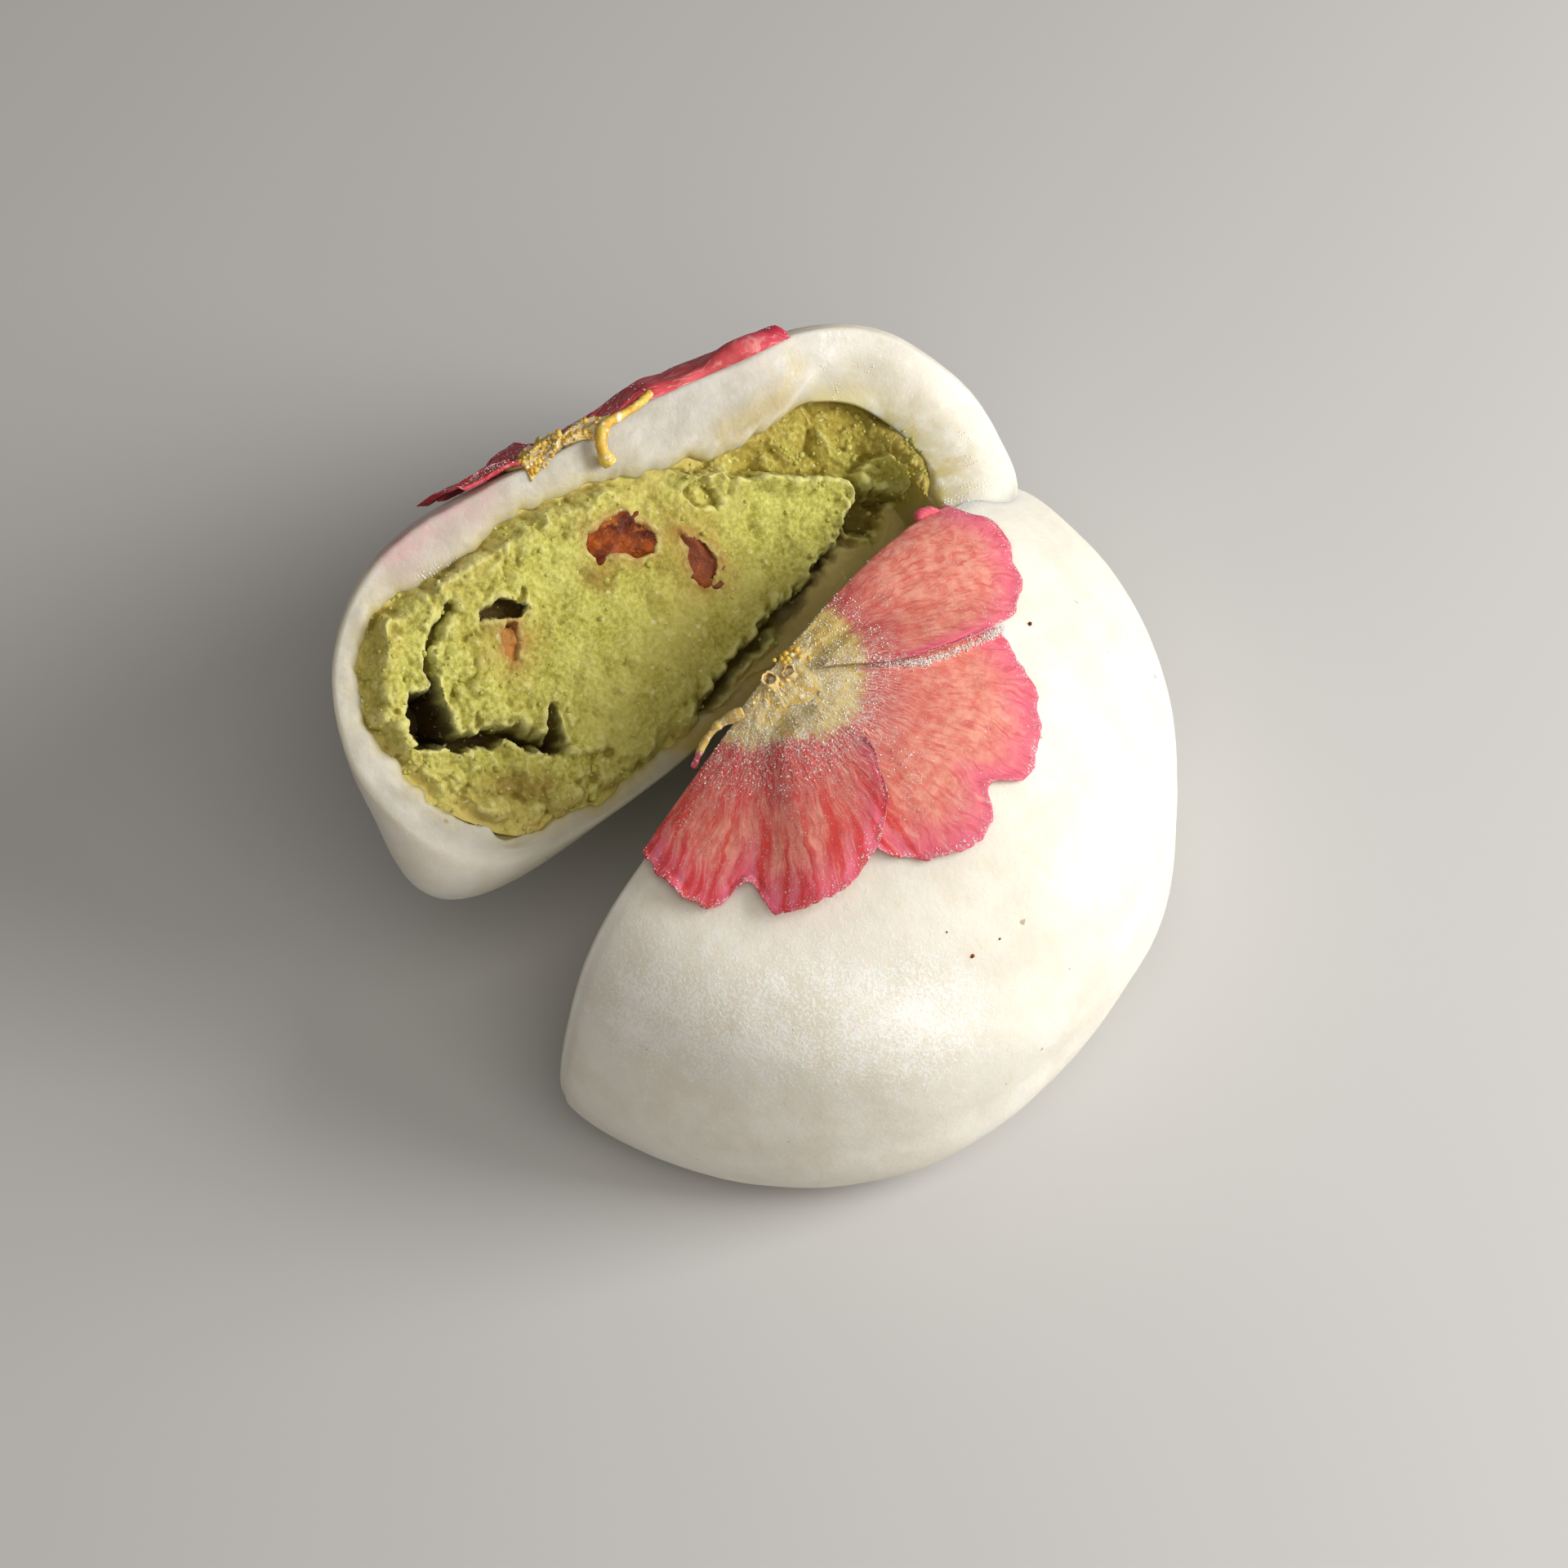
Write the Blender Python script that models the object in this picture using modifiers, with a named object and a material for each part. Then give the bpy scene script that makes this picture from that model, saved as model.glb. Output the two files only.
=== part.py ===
"""Flower rice cake: a stuffed ball of soft glutinous-rice dough with a pressed primrose on its crown,
cut in two through the flower and opened like a book.

The front half stands upright on its flat base, with its cut face towards +Y. The back half has
rolled over backwards, so its cut face looks up and forwards. At the +X end the dough of both
halves still hangs together. Lengths are written in millimetres and angles in degrees; MM turns
them into the metres of the scene.

Each half is worked out in its own frame (u, w, v): u runs along the cut, w is the height above
the cake's base, v is the depth behind the cut face. A Half holds that frame.
"""
import math
from typing import NamedTuple

import bmesh
import bpy
import numpy as np
from mathutils import Vector
from mathutils.bvhtree import BVHTree

MM = 0.001
GAP = 0.32
SHARP_ANGLE = 62.0

# Shape of a half ball of dough
FRONT_DEPTH = 33.4
BACK_DEPTH = 31.0
WIDEST_HEIGHT = 10.5
SIDE_POWER = 2.0
BASE_POWER = 3.6
FRONT_SWELL = 0.022
BACK_SWELL = 0.008
LIP_DEPTH = 1.3
FRONT_SKEW = -0.06
BACK_SKEW = 0.4
OUTER_AROUND = 60
OUTER_RINGS = 12

# Pose of the back half: its cut face leans back, and its base edge hangs above the plate
BACK_LEAN = 52.0
BACK_TURN = -9.0
FRONT_EDGE = (-3.1, -2.7, 0.0)
BACK_EDGE = (-2.2, 3.0, 18.0)

# The back half slumps out in a toe under the left end of its cut edge
TOE_PLACE = (-27.0, 4.0)
TOE_WIDTH = 9.0
TOE_DEPTH = 9.0
TOE_SWELL = 6.8

# Outlines of the cut faces, as (u, w), anticlockwise
FRONT_RIM = [
    (35.2, 12.5), (33.2, 19.0), (28.0, 24.0), (22.2, 28.0), (15.5, 31.7), (8.0, 33.4), (1.5, 33.5),
    (-5.0, 32.4), (-12.2, 30.3), (-20.0, 27.6), (-25.4, 25.6), (-29.3, 22.0), (-31.8, 16.5),
    (-33.4, 10.5), (-33.2, 5.5), (-30.5, 1.6), (-24.0, -0.6), (-10.0, -0.8), (10.0, -0.8),
    (24.0, -0.6), (30.0, 1.4), (34.0, 6.0),
]
BACK_RIM = [
    (35.3, 5.5), (34.4, 12.5), (31.0, 18.8), (25.0, 22.9), (17.0, 24.8), (8.5, 26.6), (0.0, 27.5),
    (-8.0, 28.8), (-16.5, 29.7), (-23.0, 28.3), (-28.3, 24.6), (-31.3, 19.3), (-31.9, 14.5),
    (-29.9, 8.5), (-26.0, 3.7), (-20.0, 1.0), (-11.0, 0.0), (0.0, 0.0), (12.0, 0.0), (24.0, 0.0),
    (32.0, 1.2),
]
BACK_PASTE = [
    (27.3, 9.2), (25.5, 14.5), (20.8, 17.6), (15.8, 17.8), (10.9, 18.9), (3.6, 21.7), (-4.6, 24.6),
    (-13.4, 25.2), (-20.0, 25.7), (-24.4, 24.9), (-26.9, 21.8), (-28.4, 17.7), (-27.8, 13.0),
    (-26.6, 9.5), (-23.2, 4.9), (-19.0, 2.9), (-12.0, 2.0), (-2.0, 1.9), (10.0, 1.9), (20.0, 2.2),
    (26.0, 4.6),
]
FRONT_PASTE = [
    (27.0, 10.5), (25.5, 16.5), (20.8, 21.8), (13.5, 26.4), (4.5, 28.6), (-5.0, 28.0), (-14.0, 25.8),
    (-22.0, 22.4), (-27.0, 18.0), (-29.4, 12.0), (-29.0, 7.0), (-25.5, 3.6), (-15.0, 2.4),
    (0.0, 2.2), (15.0, 2.4), (22.0, 3.2), (25.8, 6.0),
]
DEPTH_WALL = 3.0
FLOOR_WALL = 2.2
PASTE_AROUND = 48
PASTE_RINGS = 7
MOUTH = 3.0

# Stretched dough that joins the halves, as an ellipsoid
WEB_CENTRE = (22.6, -0.4, 13.4)
WEB_RADII = (7.6, 6.2, 10.2)
FILLET_REACH = 9.0
FILLET_HEIGHT = 2.4

# Torn faces of the bean paste
BACK_STEP = 1.15
FRONT_STEP = 2.2
FACE_CROWN = 0.6
BLOCK_EDGE = [
    (-60.0, -40.0), (-2.0, 1.0), (4.0, 3.0), (10.5, 4.6), (15.5, 5.2), (18.4, 6.6), (19.7, 9.2),
    (18.6, 12.0), (15.0, 15.2), (11.0, 16.8), (8.0, 18.6), (6.0, 21.5), (-4.0, 40.0), (-60.0, 40.0),
]
SHELF_EDGE = [
    (-25.5, 15.2), (-20.8, 11.9), (-17.5, 9.1), (-15.7, 6.5), (-12.5, 5.0), (-8.0, -4.0), (-40.0, -4.0),
    (-40.0, 15.2),
]
PITS = [  # centre, radii, turn, depth
    ((-23.4, 17.4), (4.0, 1.3), 66.0, 5.5),
    ((-25.5, 15.9), (1.8, 1.5), 0.0, 4.0),
    ((-14.2, 19.5), (2.4, 0.9), -27.0, 3.0),
]
CRACKS = [  # route, width, depth
    ([(-24.3, 14.2), (-20.8, 11.9), (-17.5, 9.0), (-16.5, 6.8)], 0.7, 3.4),
    ([(-16.6, 7.4), (-14.4, 10.6)], 0.6, 2.2),
    ([(-17.6, 23.4), (-19.6, 23.0), (-21.0, 20.3), (-22.1, 19.7)], 0.6, 2.4),
]
LUMP = ((24.4, 9.4), (2.4, 1.9), -60.0, 2.2)
BLOCK_SLOPE = 1.6
SHELF_SLOPE = 1.2
SUNKEN_END = 3.0
SHELF_DEPTH = 1.2
PIT_EDGE = 1.25
PIT_SLOPE = 0.6
FRONT_HOLLOW = 0.9
FRONT_SINK = 0.2
CRUMB_WAVES = 26
CRUMB_LENGTHS = (3.0, 8.0)
CRUMB_HEIGHT = 0.07
CRUMB_SEEDS = {"back": 3, "front": 8, "eye": 4}
SIDE_MARGIN = 2.0
REAR_MARGIN = 5.0

# Red-brown bits of nut: place on the face, radii, turn, how deep the middle lies
BACK_BITS = [
    ((-0.8, 18.3), (2.7, 1.9, 1.6), 10.0, 1.3),
    ((4.4, 12.4), (2.0, 1.2, 1.2), -62.0, 0.7),
    ((-14.9, 17.7), (1.5, 1.1, 1.2), 40.0, 0.9),
]
FRONT_BITS = [
    ((-0.8, 19.5), (2.4, 1.8, 1.6), 10.0, 0.9),
    ((9.0, 14.0), (1.9, 1.4, 1.3), 50.0, 0.6),
]
BIT_SEED = 5
BIT_DENTS = (-0.12, 0.08)

# Pressed primrose: where its centre lies along each cut edge, and the gold eye round it
FLOWER_FRONT = -3.8
FLOWER_BACK = -0.3
EYE_RADIUS = 4.4
EYE_LOBES = 0.6
EYE_THICKNESS = 0.8
EYE_CRUMBS = 0.7
EYE_HANG = 26.0
EYE_TURN = 6.0
EYE_START = 0.12
EYE_COLUMNS = 21
EYE_ROWS = 5
PETAL_THICKNESS = 0.35
PETAL_LIFT = 0.35
OVERLAP_LIFT = 1.15
OVERLAP_FADE = 8.0
NOTCH_WIDTH = 4.5
PETAL_WAVES = 9.0
PETAL_TIP = 0.995
PETAL_ROWS = 6
PETAL_STEP = 4.8
ABOVE = 80.0
CUT_MARGIN = 0.3
HANG_BEND = 0.9
STAMEN_RADIUS = 0.35


class Petal(NamedTuple):
    """Petal in polar form round the flower's centre, angles from +u towards the depth v.

    Its edge is at length * cos(90 (angle - axis) / spread)^fullness, less a notch. The cut or the
    next petal ends it at first and last. Between under and over it lies on top of a neighbour.
    """

    axis: float
    spread: float
    length: float
    fullness: float
    notch: float
    notch_at: float
    first: float
    last: float
    under: float
    over: float
    curl: float


FRONT_PETALS = {
    "petal_front_right": Petal(10.0, 46.0, 26.2, 0.60, 0.0, 10.0, 0.0, 50.0, 24.0, 60.0, 0.2),
    "petal_front_middle": Petal(68.0, 53.0, 22.4, 0.24, 2.4, 78.5, 29.0, 119.0, 0.0, 0.0, 0.1),
    "petal_front_left": Petal(147.0, 62.0, 19.4, 0.34, 2.6, 149.0, 90.0, 180.0, 80.0, 128.0, 0.2),
}
BACK_PETALS = {
    "petal_back_right": Petal(-4.0, 46.0, 22.6, 0.40, 0.0, 0.0, 0.0, 36.0, 0.0, 0.0, 0.35),
    "petal_back_inner": Petal(64.0, 46.0, 20.0, 0.30, 2.4, 63.0, 26.0, 101.0, 12.0, 44.0, 0.2),
    "petal_back_outer": Petal(124.0, 40.0, 19.0, 0.30, 2.4, 128.0, 90.0, 160.0, 72.0, 108.0, 0.2),
    "petal_back_left": Petal(186.0, 30.0, 16.4, 0.50, 0.0, 180.0, 162.0, 180.0, 150.0, 168.0, 0.0),
}
FRONT_STAMEN = [
    (-8.4, 33.0, 0.2), (-9.6, 32.7, -0.8), (-10.8, 31.8, -1.1), (-12.0, 30.6, -1.0), (-12.8, 29.6, -0.9),
]
BACK_STAMEN = [
    (5.3, 24.3, -0.9), (5.9, 25.4, -0.9), (5.9, 26.6, -0.9), (6.8, 27.7, -0.6), (8.6, 28.4, 0.4),
]


class Half:
    """One half's frame: origin and three directions, with the depth and lean of its dough."""

    def __init__(self, origin, along, up, inward, depth, skew, swell):
        self.origin = np.array(origin)
        self.axes = np.array([along, up, inward])
        self.depth = depth
        self.skew = skew
        self.swell = swell

    def world(self, local):
        return self.origin + np.asarray(local) @ self.axes

    def local(self, world):
        return (np.asarray(world) - self.origin) @ self.axes.T


def half_frames():
    turn = math.radians(BACK_TURN)
    lean = math.radians(BACK_LEAN)
    along = np.array([math.cos(turn), math.sin(turn), 0.0])
    behind = np.array([-math.sin(turn), math.cos(turn), 0.0])
    upright = np.array([0.0, 0.0, 1.0])
    up = math.cos(lean) * upright + math.sin(lean) * behind
    inward = math.cos(lean) * behind - math.sin(lean) * upright
    front = Half(FRONT_EDGE, (1, 0, 0), (0, 0, 1), (0, -1, 0), FRONT_DEPTH, FRONT_SKEW, FRONT_SWELL)
    back = Half(BACK_EDGE, along, up, inward, BACK_DEPTH, BACK_SKEW, BACK_SWELL)
    return front, back


def smooth_step(value):
    value = np.clip(value, 0.0, 1.0)
    return value * value * (3.0 - 2.0 * value)


def closed_curve(points, count):
    """Catmull-Rom curve through the points, read at even steps along its length."""
    knots = np.asarray(points, float)
    before, after, beyond = (np.roll(knots, shift, axis=0) for shift in (1, -1, -2))
    t = np.linspace(0.0, 1.0, 20, endpoint=False)[:, None, None]
    curve = knots + 0.5 * (
        (after - before) * t
        + (2 * before - 5 * knots + 4 * after - beyond) * t ** 2
        + (3 * knots - before - 3 * after + beyond) * t ** 3
    )
    curve = curve.transpose(1, 0, 2).reshape(-1, 2)
    curve = np.vstack([curve, curve[:1]])
    along = np.concatenate([[0.0], np.cumsum(np.linalg.norm(np.diff(curve, axis=0), axis=1))])
    at = np.arange(count) / count * along[-1]
    return np.stack([np.interp(at, along, curve[:, k]) for k in (0, 1)], axis=1)


def inset(outline, wall):
    """Moves an anticlockwise outline inwards along its normals."""
    tangent = np.roll(outline, -1, axis=0) - np.roll(outline, 1, axis=0)
    normal = np.stack([tangent[:, 1], -tangent[:, 0]], axis=1)
    normal /= np.linalg.norm(normal, axis=1, keepdims=True)
    return outline - wall * normal


def bun_rings(outline, depth, rings, skew=0.0, lip=0.0):
    """Sections of a half ball at growing depth v, down to a pole.

    The section at v is the outline scaled about its middle by (1 - (v / depth)^p)^(1/p). The power
    p grows from SIDE_POWER at the crown to BASE_POWER under the cake, where it keeps the base flat.
    Skew moves the sections along the cut as they go deeper; lip lets the skin swell just behind
    the cut edge.
    """
    middle = np.array([0.5 * (outline[:, 0].min() + outline[:, 0].max()), WIDEST_HEIGHT])
    arm = outline - middle
    downward = smooth_step(-arm[:, 1] / np.linalg.norm(arm, axis=1))
    power = SIDE_POWER + (BASE_POWER - SIDE_POWER) * downward
    angle = np.linspace(0.0, 0.5 * math.pi, rings + 1)[:, None]
    reach = np.sin(angle)
    scale = (1.0 - reach ** power) ** (1.0 / power)
    scale[-1] = 0.0
    v = np.broadcast_to(reach * depth, scale.shape)
    scale = scale * (1.0 + lip * (1.0 - np.exp(-v / LIP_DEPTH)))
    flat = middle + arm * scale[:, :, None]
    flat[:, :, 0] += skew * v
    return np.dstack([flat, v])


def slump(rings, outline):
    """Pushes the back half's lower left side out into its toe."""
    near = np.exp(-np.sum((outline - TOE_PLACE) ** 2, axis=1) / TOE_WIDTH ** 2)
    depth = rings[:, :, 2] / TOE_DEPTH
    swell = TOE_SWELL * near * depth * np.exp(1.0 - depth)
    away = outline - np.array([0.0, WIDEST_HEIGHT])
    away /= np.linalg.norm(away, axis=1, keepdims=True)
    rings[:, :, :2] += swell[:, :, None] * away
    return rings


def link(name, mesh, collection):
    obj = bpy.data.objects.new(name, mesh)
    collection.objects.link(obj)
    return obj


def tidy_mesh(build, name):
    """Turns a bmesh in millimetres into a mesh in metres with its faces pointing out."""
    build.normal_update()
    bmesh.ops.recalc_face_normals(build, faces=build.faces)
    bmesh.ops.scale(build, vec=(MM, MM, MM), verts=build.verts)
    mesh = bpy.data.meshes.new(name)
    build.to_mesh(mesh)
    build.free()
    mesh.shade_smooth()
    mesh.set_sharp_from_angle(angle=math.radians(SHARP_ANGLE))
    return mesh


def loft(name, rings, collection):
    """Closed skin over rings of world points, with a fan of triangles at each end."""
    build = bmesh.new()
    rows = [[build.verts.new(point) for point in ring] for ring in rings[:-1]]
    pole = build.verts.new(rings[-1].mean(axis=0))
    middle = build.verts.new(rings[0].mean(axis=0))
    count = len(rows[0])
    for lower, upper in zip(rows, rows[1:]):
        for i in range(count):
            j = (i + 1) % count
            build.faces.new((lower[i], lower[j], upper[j], upper[i]))
    for i in range(count):
        j = (i + 1) % count
        build.faces.new((rows[-1][i], rows[-1][j], pole))
        build.faces.new((rows[0][j], rows[0][i], middle))
    return link(name, tidy_mesh(build, name), collection)


def boolean(target, other, operation, solver="EXACT"):
    modifier = target.modifiers.new(operation.title(), "BOOLEAN")
    modifier.operation = operation
    modifier.solver = solver
    modifier.object = other
    other.hide_render = True
    other.display_type = "WIRE"


def principled(name, colour, roughness):
    material = bpy.data.materials.new(name)
    material.use_nodes = True
    shader = material.node_tree.nodes["Principled BSDF"]
    shader.inputs["Base Color"].default_value = (*colour, 1.0)
    shader.inputs["Roughness"].default_value = roughness
    shader.inputs["Metallic"].default_value = 0.0
    return material


def dress(obj, material):
    obj.data.materials.clear()
    obj.data.materials.append(material)
    return obj


def outer_half(name, half, rim, collection, slumped=False):
    """Outer skin of one half, pressed flat where it rests on the plate."""
    outline = closed_curve(rim, OUTER_AROUND)
    rings = bun_rings(outline, half.depth, OUTER_RINGS, half.skew, half.swell)
    if slumped:
        rings = slump(rings, outline)
    world = half.world(rings)
    world[:, :, 2] = np.maximum(world[:, :, 2], 0.0)
    return loft(name, world, collection)


def swell_join(objects):
    """Fills the crease between touching bodies: skin near another body moves outwards."""
    trees = []
    for obj in objects:
        points = [vertex.co.copy() for vertex in obj.data.vertices]
        faces = [tuple(face.vertices) for face in obj.data.polygons]
        trees.append(BVHTree.FromPolygons(points, faces))
    for obj, own in zip(objects, trees):
        moves = []
        for vertex in obj.data.vertices:
            distance = min(tree.find_nearest(vertex.co)[3] for tree in trees if tree is not own)
            share = max(0.0, 1.0 - distance / (FILLET_REACH * MM))
            lift = FILLET_HEIGHT * MM * share * share
            moves.append(vertex.co + vertex.normal * lift)
        for vertex, place in zip(obj.data.vertices, moves):
            vertex.co = place
            vertex.co.z = max(vertex.co.z, 0.0)


def ellipsoid(name, centre, radii, collection, segments=20):
    build = bmesh.new()
    bmesh.ops.create_uvsphere(build, u_segments=segments, v_segments=segments // 2, radius=1.0)
    bmesh.ops.scale(build, vec=radii, verts=build.verts)
    bmesh.ops.translate(build, vec=centre, verts=build.verts)
    return link(name, tidy_mesh(build, name), collection)


def paste_body(name, half, outline, extra, collection):
    """The room that the bean paste fills, open through the cut face; extra widens it."""
    rings = bun_rings(inset(outline, -extra), half.depth - DEPTH_WALL + extra, PASTE_RINGS, half.skew)
    mouth = rings[:1].copy()
    mouth[:, :, 2] = -MOUTH
    world = half.world(np.concatenate([mouth, rings]))
    world[:, :, 2] = np.maximum(world[:, :, 2], FLOOR_WALL - extra)
    return loft(name, world, collection)


def polygon_distance(u, w, corners):
    """Distance to a polygon's edge, positive inside it."""
    corners = np.asarray(corners, float)
    nearest = np.full(u.shape, np.inf)
    inside = np.zeros(u.shape, bool)
    for start, end in zip(corners, np.roll(corners, -1, axis=0)):
        nearest = np.minimum(nearest, segment_distance(u, w, start, end))
        spans = (start[1] > w) != (end[1] > w)
        rise = end[1] - start[1] if end[1] != start[1] else 1.0
        inside ^= spans & (u < start[0] + (end[0] - start[0]) * (w - start[1]) / rise)
    return np.where(inside, nearest, -nearest)


def segment_distance(u, w, start, end):
    run = np.subtract(end, start)
    share = ((u - start[0]) * run[0] + (w - start[1]) * run[1]) / (run @ run)
    share = np.clip(share, 0.0, 1.0)
    return np.hypot(u - start[0] - share * run[0], w - start[1] - share * run[1])


def crack_depth(u, w, route, width, depth):
    nearest = np.min([segment_distance(u, w, a, b) for a, b in zip(route, route[1:])], axis=0)
    return depth * np.exp(-(nearest / width) ** 2)


def pit_depth(u, w, centre, radii, turn, depth):
    """Steep-sided elliptical hollow."""
    c, s = math.cos(math.radians(turn)), math.sin(math.radians(turn))
    du, dw = u - centre[0], w - centre[1]
    radius = np.hypot((c * du + s * dw) / radii[0], (c * dw - s * du) / radii[1])
    return depth * smooth_step((PIT_EDGE - radius) / PIT_SLOPE)


def crumble(u, w, seed):
    """Uneven lumps of about half a millimetre: the sum of crossing waves of many directions."""
    draw = np.random.default_rng(seed)
    total = np.zeros(u.shape)
    for _ in range(CRUMB_WAVES):
        heading, phase = draw.uniform(0.0, 2.0 * math.pi, 2)
        length = draw.uniform(*CRUMB_LENGTHS)
        wave = (u * math.cos(heading) + w * math.sin(heading)) * 2.0 * math.pi / length
        total += np.cos(wave + phase)
    return CRUMB_HEIGHT * total


def block_and_shelf(u, w):
    """Shares, 0 to 1, of the swollen block and of the sunken shelf under its left end."""
    block = smooth_step(0.5 + polygon_distance(u, w, BLOCK_EDGE) / BLOCK_SLOPE)
    shelf = smooth_step(0.5 + polygon_distance(u, w, SHELF_EDGE) / SHELF_SLOPE)
    return block, shelf


def back_relief(u, w):
    """Depth of the torn back face below the cut: a swollen block, cracks, pits and a sunken end."""
    block, shelf = block_and_shelf(u, w)
    depth = SUNKEN_END * (1.0 - block) + SHELF_DEPTH * shelf - FACE_CROWN * block * (1.0 - shelf)
    for pit in PITS:
        depth = np.maximum(depth, pit_depth(u, w, *pit))
    for route, width, deep in CRACKS:
        depth = np.maximum(depth, crack_depth(u, w, route, width, deep))
    depth -= pit_depth(u, w, *LUMP)
    return depth + crumble(u, w, CRUMB_SEEDS["back"])


def front_relief(u, w):
    """The front face is the other side of the same tear: hollow where the back is swollen."""
    block, shelf = block_and_shelf(u, w)
    return FRONT_HOLLOW * block * (1.0 - shelf) + FRONT_SINK + crumble(u, w, CRUMB_SEEDS["front"])


def relief_block(name, half, outline, relief, step, collection):
    """Box behind a relief: a grid over the cut face, closed by a plain back."""
    low = outline.min(axis=0) - SIDE_MARGIN
    high = outline.max(axis=0) + SIDE_MARGIN
    columns = int((high[0] - low[0]) / step) + 1
    rows = int((high[1] - low[1]) / step) + 1
    u, w = np.meshgrid(np.linspace(low[0], high[0], columns), np.linspace(low[1], high[1], rows))
    face = half.world(np.dstack([u, w, relief(u, w)]))
    rear = half.world(np.dstack([u, w, np.full(u.shape, half.depth + REAR_MARGIN)]))
    build = bmesh.new()
    grid = [[build.verts.new(point) for point in line] for line in face]
    for lower, upper in zip(grid, grid[1:]):
        for i in range(columns - 1):
            build.faces.new((lower[i], lower[i + 1], upper[i + 1], upper[i]))
    corners = [build.verts.new(rear[k]) for k in ((0, 0), (0, -1), (-1, -1), (-1, 0))]
    sides = [grid[0], [line[-1] for line in grid], grid[-1][::-1], [line[0] for line in grid[::-1]]]
    for side, here, there in zip(sides, corners, corners[1:] + corners[:1]):
        build.faces.new([*side, there, here])
    build.faces.new(corners)
    return link(name, tidy_mesh(build, name), collection)


def nut_bit(name, half, place, radii, turn, sunk, extra, seed, collection):
    """Cut bit of nut: a ball of few faces, dented by seeded draws and flattened by its radii."""
    draw = np.random.default_rng(seed)
    build = bmesh.new()
    bmesh.ops.create_icosphere(build, subdivisions=2, radius=1.0)
    c, s = math.cos(math.radians(turn)), math.sin(math.radians(turn))
    for vertex in build.verts:
        lump = 1.0 + draw.uniform(*BIT_DENTS)
        x, y, z = (vertex.co[k] * (radii[k] * lump + extra) for k in range(3))
        local = (place[0] + c * x - s * y, place[1] + s * x + c * y, sunk + z)
        vertex.co = half.world(local)
    return link(name, tidy_mesh(build, name), collection)


def skin_tree(obj, half):
    """The half's outer skin as a search tree in the half's own millimetres."""
    points = half.local(np.array([vertex.co for vertex in obj.data.vertices]) / MM)
    faces = [tuple(face.vertices) for face in obj.data.polygons]
    return BVHTree.FromPolygons([Vector(point) for point in points], faces)


def place_on_skin(skin, u, v, rise):
    """Point at height rise over the skin. Where v is negative, it has bent down over the cut edge."""
    foot = Vector((u, ABOVE, max(v, CUT_MARGIN)))
    place, normal = skin.ray_cast(foot, Vector((0, -1, 0)))[:2]
    if v >= CUT_MARGIN:
        return place + normal * math.copysign(rise, normal.y)
    beyond = CUT_MARGIN - v
    bend = min(beyond / HANG_BEND, 1.0)
    turn = 0.5 * math.pi * bend
    drop = max(beyond - HANG_BEND, 0.0)
    return place + Vector((0, rise * math.cos(turn) - drop, -rise * math.sin(turn) - CUT_MARGIN * bend))


def sheet_on_skin(name, half, skin, plan, lift, thickness, collection):
    """Thin sheet over the skin: plan is a grid of (u, v), lift its height above the skin."""
    build = bmesh.new()
    grid = []
    for plan_row, lift_row in zip(plan, lift):
        places = [place_on_skin(skin, u, v, rise) for (u, v), rise in zip(plan_row, lift_row)]
        grid.append([build.verts.new(half.world(place)) for place in places])
    for lower, upper in zip(grid, grid[1:]):
        for i in range(len(lower) - 1):
            build.faces.new((lower[i], lower[i + 1], upper[i + 1], upper[i]))
    bmesh.ops.triangulate(build, faces=build.faces)
    build.normal_update()
    up = Vector(half.axes[1])
    if sum(face.normal.dot(up) for face in build.faces) < 0.0:
        bmesh.ops.reverse_faces(build, faces=build.faces)
    bmesh.ops.scale(build, vec=(MM, MM, MM), verts=build.verts)
    mesh = bpy.data.meshes.new(name)
    build.to_mesh(mesh)
    build.free()
    mesh.shade_smooth()
    obj = link(name, mesh, collection)
    solidify = obj.modifiers.new("Thickness", "SOLIDIFY")
    solidify.thickness = thickness * MM
    solidify.offset = 1.0
    return obj


def eye_edge(angle):
    """Radius of the gold eye: a circle with five lobes, one towards each petal."""
    return EYE_RADIUS + EYE_LOBES * np.cos(np.radians(5.0 * (angle - EYE_TURN)))


def polar_plan(centre, angle, radius):
    turn = np.radians(angle)
    return np.dstack([centre + radius * np.cos(turn), radius * np.sin(turn)])


def petal_on_skin(name, petal, centre, half, skin, collection):
    columns = int((petal.last - petal.first) / PETAL_STEP) + 1
    angle = np.linspace(petal.first, petal.last, columns)
    swing = np.clip((angle - petal.axis) / petal.spread, -PETAL_TIP, PETAL_TIP)
    edge = petal.length * np.cos(0.5 * math.pi * swing) ** petal.fullness
    edge -= petal.notch * np.exp(-((angle - petal.notch_at) / NOTCH_WIDTH) ** 2)
    start = eye_edge(angle) + GAP
    share = np.linspace(0.0, 1.0, PETAL_ROWS)[:, None]
    plan = polar_plan(centre, angle, start + (edge - start) * share)
    over = smooth_step((angle - petal.under) / OVERLAP_FADE)
    over *= smooth_step((petal.over - angle) / OVERLAP_FADE)
    wave = petal.curl * share ** 2 * (1.0 + np.sin(np.radians(PETAL_WAVES * angle)))
    lift = PETAL_LIFT + (OVERLAP_LIFT - PETAL_LIFT) * over + wave
    return sheet_on_skin(name, half, skin, plan, lift, PETAL_THICKNESS, collection)


def eye_on_skin(name, centre, half, skin, hang, collection):
    """Crumbly half disc at the flower's centre. Hang is the angle by which it passes the cut."""
    angle = np.linspace(-hang, 180.0 + hang, EYE_COLUMNS)
    radius = np.linspace(EYE_START, 1.0, EYE_ROWS)[:, None] * eye_edge(angle)
    plan = polar_plan(centre, angle, radius)
    lumps = crumble(2.0 * plan[:, :, 0], 2.0 * plan[:, :, 1], CRUMB_SEEDS["eye"])
    lift = PETAL_LIFT + EYE_CRUMBS * (1.0 + lumps)
    return sheet_on_skin(name, half, skin, plan, lift, EYE_THICKNESS, collection)


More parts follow.
